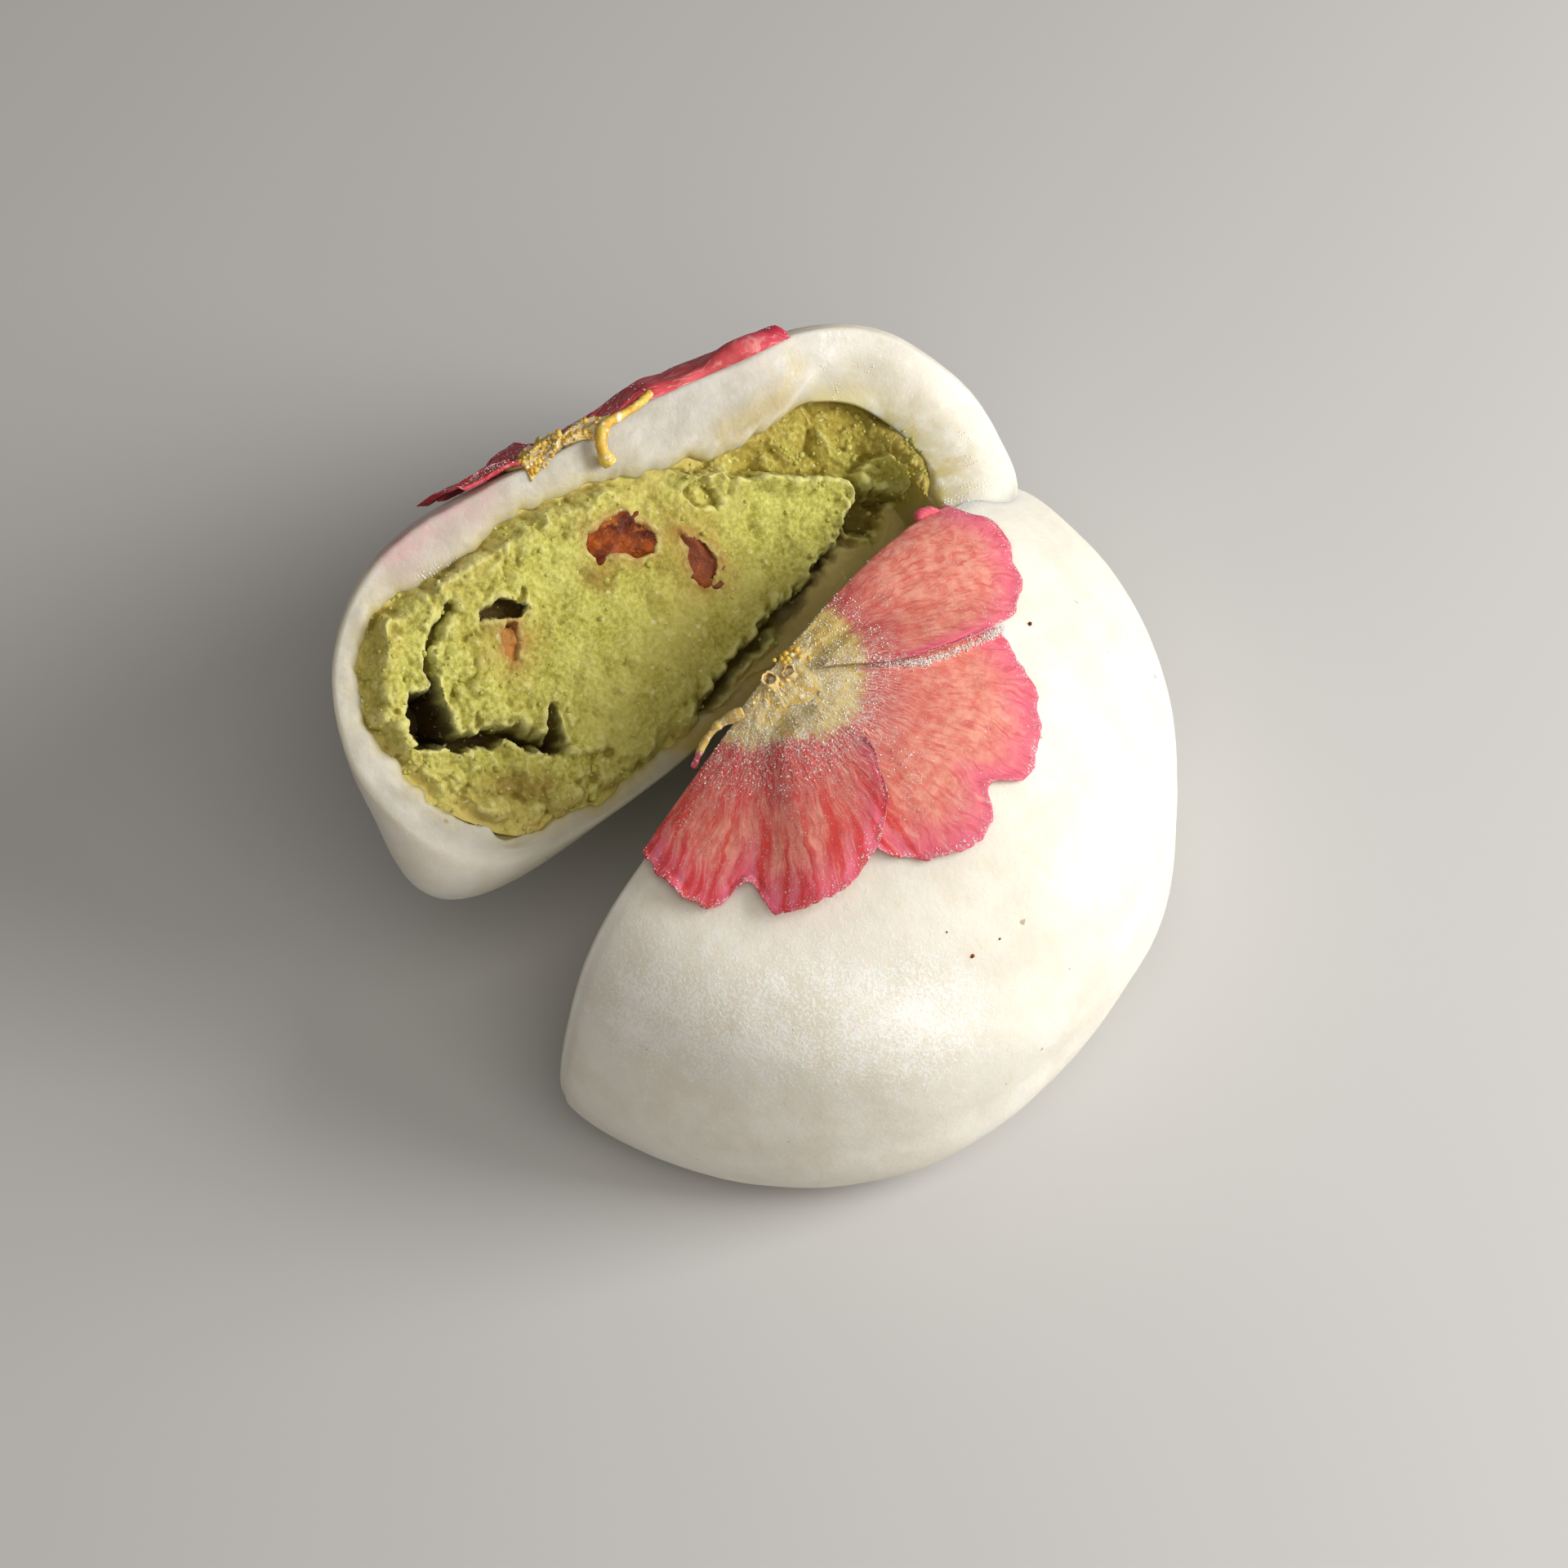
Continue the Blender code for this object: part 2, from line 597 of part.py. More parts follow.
def stamen(name, half, route, collection):
    curve = bpy.data.curves.new(name, "CURVE")
    curve.dimensions = "3D"
    curve.bevel_depth = STAMEN_RADIUS * MM
    curve.bevel_resolution = 1
    curve.use_fill_caps = True
    spline = curve.splines.new("POLY")
    spline.points.add(len(route) - 1)
    for point, local in zip(spline.points, route):
        point.co = (*(half.world(local) * MM), 1.0)
    return link(name, curve, collection)


def build_filling(name, half, outline, relief, step, bits, bit_prefix, parts, cutters):
    """Bean paste of one half: its room, cut off by the torn face, with pockets for the bits."""
    paste = paste_body(name, half, outline, 0.0, parts)
    face = relief_block(name + "_face", half, outline, relief, step, cutters)
    boolean(paste, face, "INTERSECT")
    pieces = []
    for index, (place, radii, turn, sunk) in enumerate(bits, start=1):
        seed = BIT_SEED + index
        label = f"{bit_prefix}_{index}"
        pieces.append(nut_bit(label, half, place, radii, turn, sunk, 0.0, seed, parts))
        pocket = nut_bit(label + "_pocket", half, place, radii, turn, sunk, GAP, seed, cutters)
        boolean(paste, pocket, "DIFFERENCE")
    return paste, pieces


def main():
    for obj in list(bpy.data.objects):
        bpy.data.objects.remove(obj)
    parts = bpy.data.collections.new("flower_rice_cake")
    cutters = bpy.data.collections.new("cutters")
    bpy.context.scene.collection.children.link(parts)
    bpy.context.scene.collection.children.link(cutters)

    front, back = half_frames()
    dough = outer_half("dough", front, FRONT_RIM, parts)
    rear = outer_half("dough_back", back, BACK_RIM, cutters, slumped=True)
    web = ellipsoid("dough_web", WEB_CENTRE, WEB_RADII, cutters)
    swell_join([dough, rear, web])
    skins = {"front": skin_tree(dough, front), "back": skin_tree(rear, back)}
    # The exact solver loses the dough after its unions, so every cut on it uses the other one.
    boolean(dough, rear, "UNION", "MANIFOLD")
    boolean(dough, web, "UNION", "MANIFOLD")
    front_paste = closed_curve(FRONT_PASTE, PASTE_AROUND)
    back_paste = closed_curve(BACK_PASTE, PASTE_AROUND)
    for half, outline, label in ((front, front_paste, "front"), (back, back_paste, "back")):
        room = paste_body("room_" + label, half, outline, GAP, cutters)
        boolean(dough, room, "DIFFERENCE", "MANIFOLD")

    filling_back, bits_back = build_filling(
        "filling_back", back, back_paste, back_relief, BACK_STEP, BACK_BITS, "bit_back", parts, cutters
    )
    filling_front, bits_front = build_filling(
        "filling_front", front, front_paste, front_relief, FRONT_STEP, FRONT_BITS, "bit_front",
        parts, cutters,
    )

    petals = []
    for half, centre, row, label in (
        (front, FLOWER_FRONT, FRONT_PETALS, "front"),
        (back, FLOWER_BACK, BACK_PETALS, "back"),
    ):
        skin = skins[label]
        petals += [petal_on_skin(name, petal, centre, half, skin, parts) for name, petal in row.items()]
    eyes = [
        eye_on_skin("eye_front", FLOWER_FRONT, front, skins["front"], 0.0, parts),
        eye_on_skin("eye_back", FLOWER_BACK, back, skins["back"], EYE_HANG, parts),
    ]
    strands = [
        stamen("stamen_front", front, FRONT_STAMEN, parts),
        stamen("stamen_back", back, BACK_STAMEN, parts),
    ]

    dress(dough, principled("rice_dough", (0.86, 0.82, 0.72), 0.5))
    paste = principled("green_paste", (0.42, 0.42, 0.10), 0.8)
    dress(filling_back, paste)
    dress(filling_front, paste)
    nut = principled("brown_nut", (0.28, 0.08, 0.03), 0.5)
    for piece in bits_back + bits_front:
        dress(piece, nut)
    rose = principled("rose_petal", (0.62, 0.08, 0.10), 0.6)
    for piece in petals:
        dress(piece, rose)
    gold = principled("gold_eye", (0.60, 0.42, 0.12), 0.8)
    for piece in eyes + strands:
        dress(piece, gold)


main()
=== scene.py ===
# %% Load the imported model
import itertools
import math
from typing import NamedTuple

import bpy
import numpy as np
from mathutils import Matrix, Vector


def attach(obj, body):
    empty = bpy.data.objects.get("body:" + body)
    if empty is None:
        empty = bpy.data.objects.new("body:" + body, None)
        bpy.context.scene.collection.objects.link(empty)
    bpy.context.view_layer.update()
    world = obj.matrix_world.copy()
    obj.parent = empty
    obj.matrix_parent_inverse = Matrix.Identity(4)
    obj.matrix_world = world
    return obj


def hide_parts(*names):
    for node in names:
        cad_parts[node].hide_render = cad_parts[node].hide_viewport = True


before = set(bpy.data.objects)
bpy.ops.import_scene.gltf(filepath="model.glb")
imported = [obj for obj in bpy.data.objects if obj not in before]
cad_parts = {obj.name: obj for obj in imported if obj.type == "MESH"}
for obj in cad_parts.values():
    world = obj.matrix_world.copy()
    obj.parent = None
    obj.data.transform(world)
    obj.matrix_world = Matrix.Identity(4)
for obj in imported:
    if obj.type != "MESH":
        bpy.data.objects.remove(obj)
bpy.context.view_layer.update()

# %% [markdown]
# # A rice cake with a pressed primrose
# The cake is a ball of soft rice dough round a core of green bean paste. A pressed flower lies on
# its crown. A knife has gone down through the flower, and the two halves have been opened like a
# book: one still stands, the other has rolled on to its back and shows its filling.
#
# Everything here is a surface worked out with numpy. A surface is a table of points, one row and
# one column for each pair of parameters, and Blender only has to be told which neighbours make a
# face. Lengths are in millimetres until the very last step.

# %% Small tools for numbers
MM = 0.001


def ease(value):
    """0 below 0, 1 above 1, and 3t^2 - 2t^3 in between."""
    t = np.clip(value, 0.0, 1.0)
    return t * t * (3.0 - 2.0 * t)


def bell(distance, width):
    """exp(-(distance / width)^2): 1 in the middle, fading to nothing."""
    return np.exp(-(distance / width) ** 2)


# %% [markdown]
# ## Noise
# Dough, paste and petals are all uneven. Two kinds of unevenness cover them. Soft noise eases
# between random heights on a lattice, which gives dents and waves. Grain noise measures how far
# each point is from the nearest of many scattered seeds, which gives rounded crumbs with creases
# between them.

# %% Soft noise and grain noise
TABLE = 4096
HASH_X, HASH_Y, HASH_Z = 73856093, 19349663, 83492791


def lattice_key(cell):
    """Mixes three whole numbers into one index of a random table."""
    mixed = cell[..., 0] * HASH_X ^ cell[..., 1] * HASH_Y ^ cell[..., 2] * HASH_Z
    return mixed & (TABLE - 1)


def soft_noise(points, size, seed, octaves=1):
    """Random heights, -1 to 1, on a lattice of that size, eased between its eight corners.

    Each further octave halves both the size and the height.
    """
    total = np.zeros(points.shape[:-1])
    for octave in range(octaves):
        heights = np.random.default_rng(seed + octave).uniform(-1.0, 1.0, TABLE)
        place = points * 2.0 ** octave / size
        cell = np.floor(place).astype(np.int64)
        part = ease(place - cell)
        for corner in itertools.product((0, 1), repeat=3):
            share = np.prod(np.where(np.array(corner), part, 1.0 - part), axis=-1)
            total += share * heights[lattice_key(cell + np.array(corner))] * 0.5 ** octave
    return total


def grain_noise(points, size, seed):
    """1 - (distance to the nearest seed / size)^2, with one random seed in each lattice cell."""
    jitter = np.random.default_rng(seed).uniform(0.0, 1.0, (TABLE, 3))
    place = points / size
    cell = np.floor(place).astype(np.int64)
    nearest = np.full(points.shape[:-1], 4.0)
    for corner in itertools.product((-1, 0, 1), repeat=3):
        near = cell + np.array(corner)
        gap = np.sum((near + jitter[lattice_key(near)] - place) ** 2, axis=-1)
        nearest = np.minimum(nearest, gap)
    return 1.0 - nearest


def local_mean(field, reach):
    """Mean over a square window, from running sums along both directions of a table."""
    for axis in (0, 1):
        pad = [(reach + 1, reach) if side == axis else (0, 0) for side in (0, 1)]
        total = np.cumsum(np.pad(field, pad, mode="edge"), axis=axis)
        span = 2 * reach + 1
        high = np.take(total, np.arange(span, total.shape[axis]), axis=axis)
        field = (high - np.take(total, np.arange(total.shape[axis] - span), axis=axis)) / span
    return field


print("noise ready, for example", soft_noise(np.array([[1.0, 2.0, 3.0]]), 1.7, 1).round(3))

# %% [markdown]
# ## From a table of points to a mesh
# `grid_faces` numbers the four corners of every small square in a table. A closed body, such as a
# half of the cake, is a table whose columns wrap round, with its first and last rows shrunk to a
# point. Which way the faces look is settled by the signed volume: if it is negative, they are all
# turned.

# %% Mesh makers
def grid_faces(rows, columns, wrap):
    """Squares between neighbouring rows and columns. Wrap joins the last column to the first."""
    row = np.arange(rows - 1)[:, None] * columns
    here = np.arange(columns if wrap else columns - 1)[None, :]
    there = (here + 1) % columns
    corners = (row + here, row + there, row + columns + there, row + columns + here)
    return np.stack(corners, axis=-1).reshape(-1, 4)


def border_ring(table):
    """The border of a table, once round, as one row."""
    return np.concatenate([table[0], table[1:, -1], table[-1, -2::-1], table[-2:0:-1, 0]])


def signed_volume(points, faces):
    """One sixth of the sum of a . (b x c) over the triangles of a mesh."""
    fans = np.concatenate([faces[:, (0, k, k + 1)] for k in range(1, faces.shape[1] - 1)])
    a, b, c = (points[fans[:, k]] for k in range(3))
    return float(np.sum(a * np.cross(b, c)) / 6.0)


def add_piece(name, points, face_lists, marks=None):
    """Makes an object from points in mm. Marks are named numbers, one for each point."""
    mesh = bpy.data.meshes.new(name)
    faces = [face for faces in face_lists for face in faces.tolist()]
    mesh.from_pydata(points * MM, [], faces)
    for label, values in (marks or {}).items():
        layer = mesh.attributes.new(label, "FLOAT", "POINT")
        layer.data.foreach_set("value", np.ascontiguousarray(values, dtype=np.float32).ravel())
    mesh.shade_smooth()
    mesh.validate()
    piece = bpy.data.objects.new(name, mesh)
    bpy.context.scene.collection.objects.link(piece)
    return piece

# %% Closed bodies and sheets
def closed_body(name, rows, marks=None):
    """A body whose columns wrap round. Its first and last rows are closed by a fan each.

    The point that closes a row is the mean of the row, and so are its marks.
    """
    count, columns = rows.shape[:2]
    ends = np.stack([rows[0].mean(axis=0), rows[-1].mean(axis=0)])
    points = np.concatenate([rows.reshape(-1, 3), ends])
    squares = grid_faces(count, columns, True)
    here = np.arange(columns)
    there = (here + 1) % columns
    first = np.stack([here, np.full(columns, count * columns), there], axis=-1)
    top = (count - 1) * columns
    last = np.stack([top + here, top + there, np.full(columns, count * columns + 1)], axis=-1)
    if signed_volume(points, squares) < 0.0:
        squares, first, last = squares[:, ::-1], first[:, ::-1], last[:, ::-1]
    spread = {}
    for label, values in (marks or {}).items():
        spread[label] = np.concatenate([values.ravel(), [values[0].mean(), values[-1].mean()]])
    piece = add_piece(name, points, [squares, first, last], spread)
    print(name, "has", len(piece.data.polygons), "faces")
    return piece


def closed_sheet(name, upper, lower, marks):
    """Two like tables of points, one above the other, joined along their borders."""
    rows, columns = upper.shape[:2]
    count = rows * columns
    points = np.concatenate([upper.reshape(-1, 3), lower.reshape(-1, 3)])
    top = grid_faces(rows, columns, False)
    ring = border_ring(np.arange(count).reshape(rows, columns))
    after = np.roll(ring, -1)
    border = np.stack([after, ring, ring + count, after + count], axis=-1)
    faces = np.concatenate([top, top[:, ::-1] + count, border])
    if signed_volume(points, faces) < 0.0:
        faces = faces[:, ::-1]
    doubled = {label: np.tile(values.ravel(), 2) for label, values in marks.items()}
    piece = add_piece(name, points, [faces], doubled)
    print(name, "has", len(piece.data.polygons), "faces")
    return piece


# %% [markdown]
# ## The two halves
# Each half has its own frame (u, w, v): u runs along the cut, w is the height above the cake's
# base and v is the depth behind the cut face. The front half stands, so its frame is upright. The
# back half leans back by 52 degrees and is turned a little.

# %% Frames of the halves
class Half(NamedTuple):
    """Where a half lies, and how round and deep its dough is."""

    origin: np.ndarray
    axes: np.ndarray
    depth: float
    skew: float
    swell: float
    rim: list
    paste: list

    def world(self, local):
        """Origin plus (u, w, v) times the three axes."""
        return self.origin + local @ self.axes


BACK_LEAN, BACK_TURN = math.radians(52.0), math.radians(-9.0)
ALONG = np.array([math.cos(BACK_TURN), math.sin(BACK_TURN), 0.0])
BEHIND = np.array([-math.sin(BACK_TURN), math.cos(BACK_TURN), 0.0])
UPRIGHT = np.array([0.0, 0.0, 1.0])
LEANING = math.cos(BACK_LEAN) * UPRIGHT + math.sin(BACK_LEAN) * BEHIND
INWARD = math.cos(BACK_LEAN) * BEHIND - math.sin(BACK_LEAN) * UPRIGHT

front = Half(
    origin=np.array([-3.1, -2.7, 0.0]),
    axes=np.array([[1.0, 0.0, 0.0], [0.0, 0.0, 1.0], [0.0, -1.0, 0.0]]),
    depth=33.4, skew=-0.06, swell=0.022,
    rim=[
        (35.2, 12.5), (33.2, 19.0), (28.0, 24.0), (22.2, 28.0), (15.5, 31.7), (8.0, 33.4),
        (1.5, 33.5), (-5.0, 32.4), (-12.2, 30.3), (-20.0, 27.6), (-25.4, 25.6), (-29.3, 22.0),
        (-31.8, 16.5), (-33.4, 10.5), (-33.2, 5.5), (-30.5, 1.6), (-24.0, -0.6), (-10.0, -0.8),
        (10.0, -0.8), (24.0, -0.6), (30.0, 1.4), (34.0, 6.0),
    ],
    paste=[
        (27.0, 10.5), (25.5, 16.5), (20.8, 21.8), (13.5, 26.4), (4.5, 28.6), (-5.0, 28.0),
        (-14.0, 25.8), (-22.0, 22.4), (-27.0, 18.0), (-29.4, 12.0), (-29.0, 7.0), (-25.5, 3.6),
        (-15.0, 2.4), (0.0, 2.2), (15.0, 2.4), (22.0, 3.2), (25.8, 6.0),
    ],
)
back = Half(
    origin=np.array([-2.2, 3.0, 18.0]),
    axes=np.array([ALONG, LEANING, INWARD]),
    depth=31.0, skew=0.4, swell=0.008,
    rim=[
        (35.3, 5.5), (34.4, 12.5), (31.0, 18.8), (25.0, 22.9), (17.0, 24.8), (8.5, 26.6),
        (0.0, 27.5), (-8.0, 28.8), (-16.5, 29.7), (-23.0, 28.3), (-28.3, 24.6), (-31.3, 19.3),
        (-31.9, 14.5), (-29.9, 8.5), (-26.0, 3.7), (-20.0, 1.0), (-11.0, 0.0), (0.0, 0.0),
        (12.0, 0.0), (24.0, 0.0), (32.0, 1.2),
    ],
    paste=[
        (27.3, 9.2), (25.5, 14.5), (20.8, 17.6), (15.8, 17.8), (10.9, 18.9), (3.6, 21.7),
        (-4.6, 24.6), (-13.4, 25.2), (-20.0, 25.7), (-24.4, 24.9), (-26.9, 21.8), (-28.4, 17.7),
        (-27.8, 13.0), (-26.6, 9.5), (-23.2, 4.9), (-19.0, 2.9), (-12.0, 2.0), (-2.0, 1.9),
        (10.0, 1.9), (20.0, 2.2), (26.0, 4.6),
    ],
)
WIDEST_HEIGHT = 10.5
print("cut face of the back half looks along", (-INWARD).round(2))

# %% [markdown]
# ## Outlines
# The cut edge of the dough and the edge of the paste are smooth closed curves through a few
# points: a Catmull-Rom curve, read at even steps along its length. To stretch the cut face
# between the two, each point of the outer curve needs a partner on the inner one. Partners have
# the same angle seen from the middle, once both curves have been squeezed into circles.

# %% Curves and partners
def closed_curve(points, count):
    """Catmull-Rom curve through the points, read at even steps along its length."""
    knots = np.asarray(points, float)
    before, after, beyond = (np.roll(knots, shift, axis=0) for shift in (1, -1, -2))
    t = np.linspace(0.0, 1.0, 20, endpoint=False)[:, None, None]
    curve = knots + 0.5 * (
        (after - before) * t
        + (2 * before - 5 * knots + 4 * after - beyond) * t ** 2
        + (3 * knots - before - 3 * after + beyond) * t ** 3
    )
    curve = curve.transpose(1, 0, 2).reshape(-1, 2)
    curve = np.vstack([curve, curve[:1]])
    along = np.concatenate([[0.0], np.cumsum(np.linalg.norm(np.diff(curve, axis=0), axis=1))])
    at = np.arange(count) / count * along[-1]
    return np.stack([np.interp(at, along, curve[:, k]) for k in (0, 1)], axis=1)


def inset(outline, wall):
    """Moves an anticlockwise outline inwards along its normals."""
    tangent = np.roll(outline, -1, axis=0) - np.roll(outline, 1, axis=0)
    normal = np.stack([tangent[:, 1], -tangent[:, 0]], axis=1)
    normal /= np.linalg.norm(normal, axis=1, keepdims=True)
    return outline - np.asarray(wall).reshape(-1, 1) * normal


def squeezed_angle(curve, middle, reach):
    """Angle of each point after the curve's box has been squeezed into a square."""
    return np.arctan2((curve[:, 1] - middle[1]) / reach[1], (curve[:, 0] - middle[0]) / reach[0])


def partners(outer, inner):
    """The point of the inner curve at the squeezed angle of each outer point."""
    angles = []
    for curve in (outer, inner):
        low, high = curve.min(axis=0), curve.max(axis=0)
        angles.append(squeezed_angle(curve, 0.5 * (low + high), 0.5 * (high - low)))
    order = np.argsort(angles[1])
    known = angles[1][order]
    return np.stack(
        [np.interp(angles[0], known, inner[order, k], period=2.0 * math.pi) for k in (0, 1)], axis=1
    )


# %% [markdown]
# ## The round of the dough
# Behind the cut edge the dough closes like half an egg. At the depth v its section is the cut
# outline shrunk about its middle by (1 - (v / depth)^p)^(1/p). With p = 2 that is a circle's arc,
# used for the crown and the sides. Under the cake p rises to 3.6, which keeps the base flat. The
# crown also has a formula of its own for the height above any point, so that petals can be laid
# on it.

# %% Sections of a half ball
SIDE_POWER, BASE_POWER, LIP_DEPTH = 2.0, 3.6, 1.3


def outline_middle(outline):
    """Half way along the outline, at the height where the cake is widest."""
    return np.array([0.5 * (outline[:, 0].min() + outline[:, 0].max()), WIDEST_HEIGHT])


def lip(half, v):
    """The skin swells a little just behind the cut edge."""
    return 1.0 + half.swell * (1.0 - np.exp(-v / LIP_DEPTH))


def sections(outline, half, depth, v, swell=True):
    """Local points (u, w, v): one row for each depth in v, one column for each outline point."""
    middle = outline_middle(outline)
    arm = outline - middle
    downward = ease(-arm[:, 1] / np.linalg.norm(arm, axis=1))
    power = SIDE_POWER + (BASE_POWER - SIDE_POWER) * downward
    reach = np.clip(v / depth, 0.0, 1.0)[:, None]
    scale = np.maximum(1.0 - reach ** power, 0.0) ** (1.0 / power)
    if swell:
        scale = scale * lip(half, v)[:, None]
    flat = middle + arm * scale[:, :, None]
    flat[:, :, 0] += half.skew * v[:, None]
    return np.dstack([flat, np.broadcast_to(v[:, None], scale.shape)])


def crown_height(half, u, v):
    """Height w of the skin over (u, v): the top of the cut outline, shrunk as the section is."""
    outline = closed_curve(half.rim, 400)
    middle = outline_middle(outline)
    arm = outline - middle
    top = arm[arm[:, 1] > 0.0]
    top = top[np.argsort(top[:, 0])]
    scale = np.sqrt(np.clip(1.0 - (v / half.depth) ** 2, 1e-6, 1.0)) * lip(half, v)
    across = (u - half.skew * v - middle[0]) / scale
    return middle[1] + scale * np.interp(across, top[:, 0], top[:, 1])


crown = float(crown_height(front, np.array(0.0), np.array(5.0)))
print("crown of the front half:", round(crown, 2))

# %% [markdown]
# ## Where the halves still hang together
# At one end the knife didn't quite part the dough. Both halves bulge towards each other there and
# meet in a soft crease. The bulge is a push along Y, strongest at the hinge and fading out with
# distance, so the skin stays smooth.

# %% The bulge at the hinge
HINGE = np.array([26.5, -1.2, 19.5])
HINGE_WIDTHS = np.array([8.5, 7.5, 9.0])


def hinge_share(world):
    """exp(-r^2), r the distance from the hinge with each axis divided by its width."""
    return np.exp(-np.sum(((world - HINGE) / HINGE_WIDTHS) ** 2, axis=-1))


def bulge(world, reach):
    """Moves points along Y by reach times their share."""
    moved = world.copy()
    moved[..., 1] += reach * hinge_share(world)
    return moved


# %% [markdown]
# ## The stretched corner
# The back half also has a corner of dough that is stretched over to the front half's cut edge.
# It is a pull in one slanting direction. How far a point is pulled is read from a short table
# along the cut, and fades with the height over the hinge and with the depth behind the cut face.
# Beside it the end of the half is nipped: it is drawn in a little, as dough thins next to a pull.

# %% The stretched corner
PULL_WAY = np.array([-0.44, -0.32, 0.84])
PULL_PLACES = [23.2, 24.6, 26.2, 28.4, 30.8, 33.0, 35.2]
PULL_REACH = [0.0, 4.5, 9.4, 8.2, 6.0, 3.0, 1.2]
PULL_START, PULL_FADE, PULL_DEPTH = 2.6, 12.0, 5.5
NIP_PLACE, NIP_WAY = (34.8, 3.0, 2.6), np.array([-0.592, 0.806, 0.0])
NIP_DEPTH, NIP_WIDTH = 1.8, 4.4


def stretched(world, rows):
    """Moves points by reach(u) * fade(w) * exp(-(v / depth)^2) along the pull."""
    u, w, v = rows[:, :, 0], rows[:, :, 1], rows[:, :, 2]
    reach = np.interp(u, PULL_PLACES, PULL_REACH)
    fade = 1.0 - ease((w - PULL_START) / PULL_FADE)
    share = reach * fade * bell(np.maximum(v, 0.0), PULL_DEPTH)
    return world + share[:, :, None] * PULL_WAY


def nipped(world):
    """Draws the end of the back half in, beside the join: depth * exp(-(distance / width)^2)."""
    gap = np.linalg.norm(world - back.world(np.array(NIP_PLACE)), axis=-1)
    return world + NIP_DEPTH * bell(gap, NIP_WIDTH)[..., None] * NIP_WAY


print("longest pull in mm:", max(PULL_REACH), "and the nip:", NIP_DEPTH)


# %% [markdown]
# ## Dough
# One table of points covers a whole half: it starts deep in the hollow that holds the paste,
# comes out to the cut face, crosses it, rounds the cut edge and runs over the skin to the pole at
# the back. The skin gets soft dents. The cut face gets the pulled, sticky unevenness of a knife
# cut, a ragged edge where it meets the paste, and at the hinge end it slopes softly into the
# hollow.
#
# Marks are stored with the points for the material: how much a point belongs to the cut face, how
# near the paste it is, where juice or petal colour has stained it, and where flour lies.

# %% One half of the dough
AROUND = 560
ROOM_ROWS, CUT_ROWS, EDGE_ROWS, SKIN_ROWS = 14, 26, 6, 84
EDGE_RADIUS = 0.45
DEPTH_WALL, FLOOR_WALL, GAP = 3.0, 2.2, 0.32
SUNK_LIP, END_SLOPE = 0.55, 1.5
TOE_PLACE, TOE_WIDTH, TOE_DEPTH, TOE_SWELL = (-27.0, 4.0), 9.0, 9.0, 6.8
DENTS = ((0.34, 15.0, 40), (0.10, 4.5, 41), (0.02, 1.1, 42))


def slump(rows, outline):
    """Pushes the lower left side of the back half out into its toe."""
    near = np.exp(-np.sum((outline - TOE_PLACE) ** 2, axis=1) / TOE_WIDTH ** 2)
    depth = rows[:, :, 2] / TOE_DEPTH
    swell = TOE_SWELL * near * depth * np.exp(1.0 - depth)
    away = outline - np.array([0.0, WIDEST_HEIGHT])
    away /= np.linalg.norm(away, axis=1, keepdims=True)
    rows[:, :, :2] += swell[:, :, None] * away
    return rows


def cut_face(inner, outer, share, soft_end):
    """The wall between paste and skin, a share of the way from the inner line to the outer one.

    Its depth adds a slope into the hollow at the soft end, pulled waves, and a torn, sunk lip.
    """
    face = inner[None] + (outer - inner)[None] * share[:, :, None]
    face = np.dstack([face, np.zeros(face.shape[:2])])
    slope = (1.0 - ease(share / 0.85)) * soft_end(inner[:, 0])[None]
    pulled = 0.13 * soft_noise(face, 4.0, 5, 2) + 0.02 * soft_noise(face, 0.7, 9, 2)
    tear = 0.25 * np.abs(soft_noise(face, 1.1, 12, 2)) * np.exp(-share / 0.12)
    sunk = SUNK_LIP * np.exp(-share * np.linalg.norm(outer - inner, axis=1) / 0.55)
    face[:, :, 2] += END_SLOPE * slope + pulled * np.sin(math.pi * share)
    face[:, :, 2] += (tear + sunk) * (1.0 - slope)
    return face


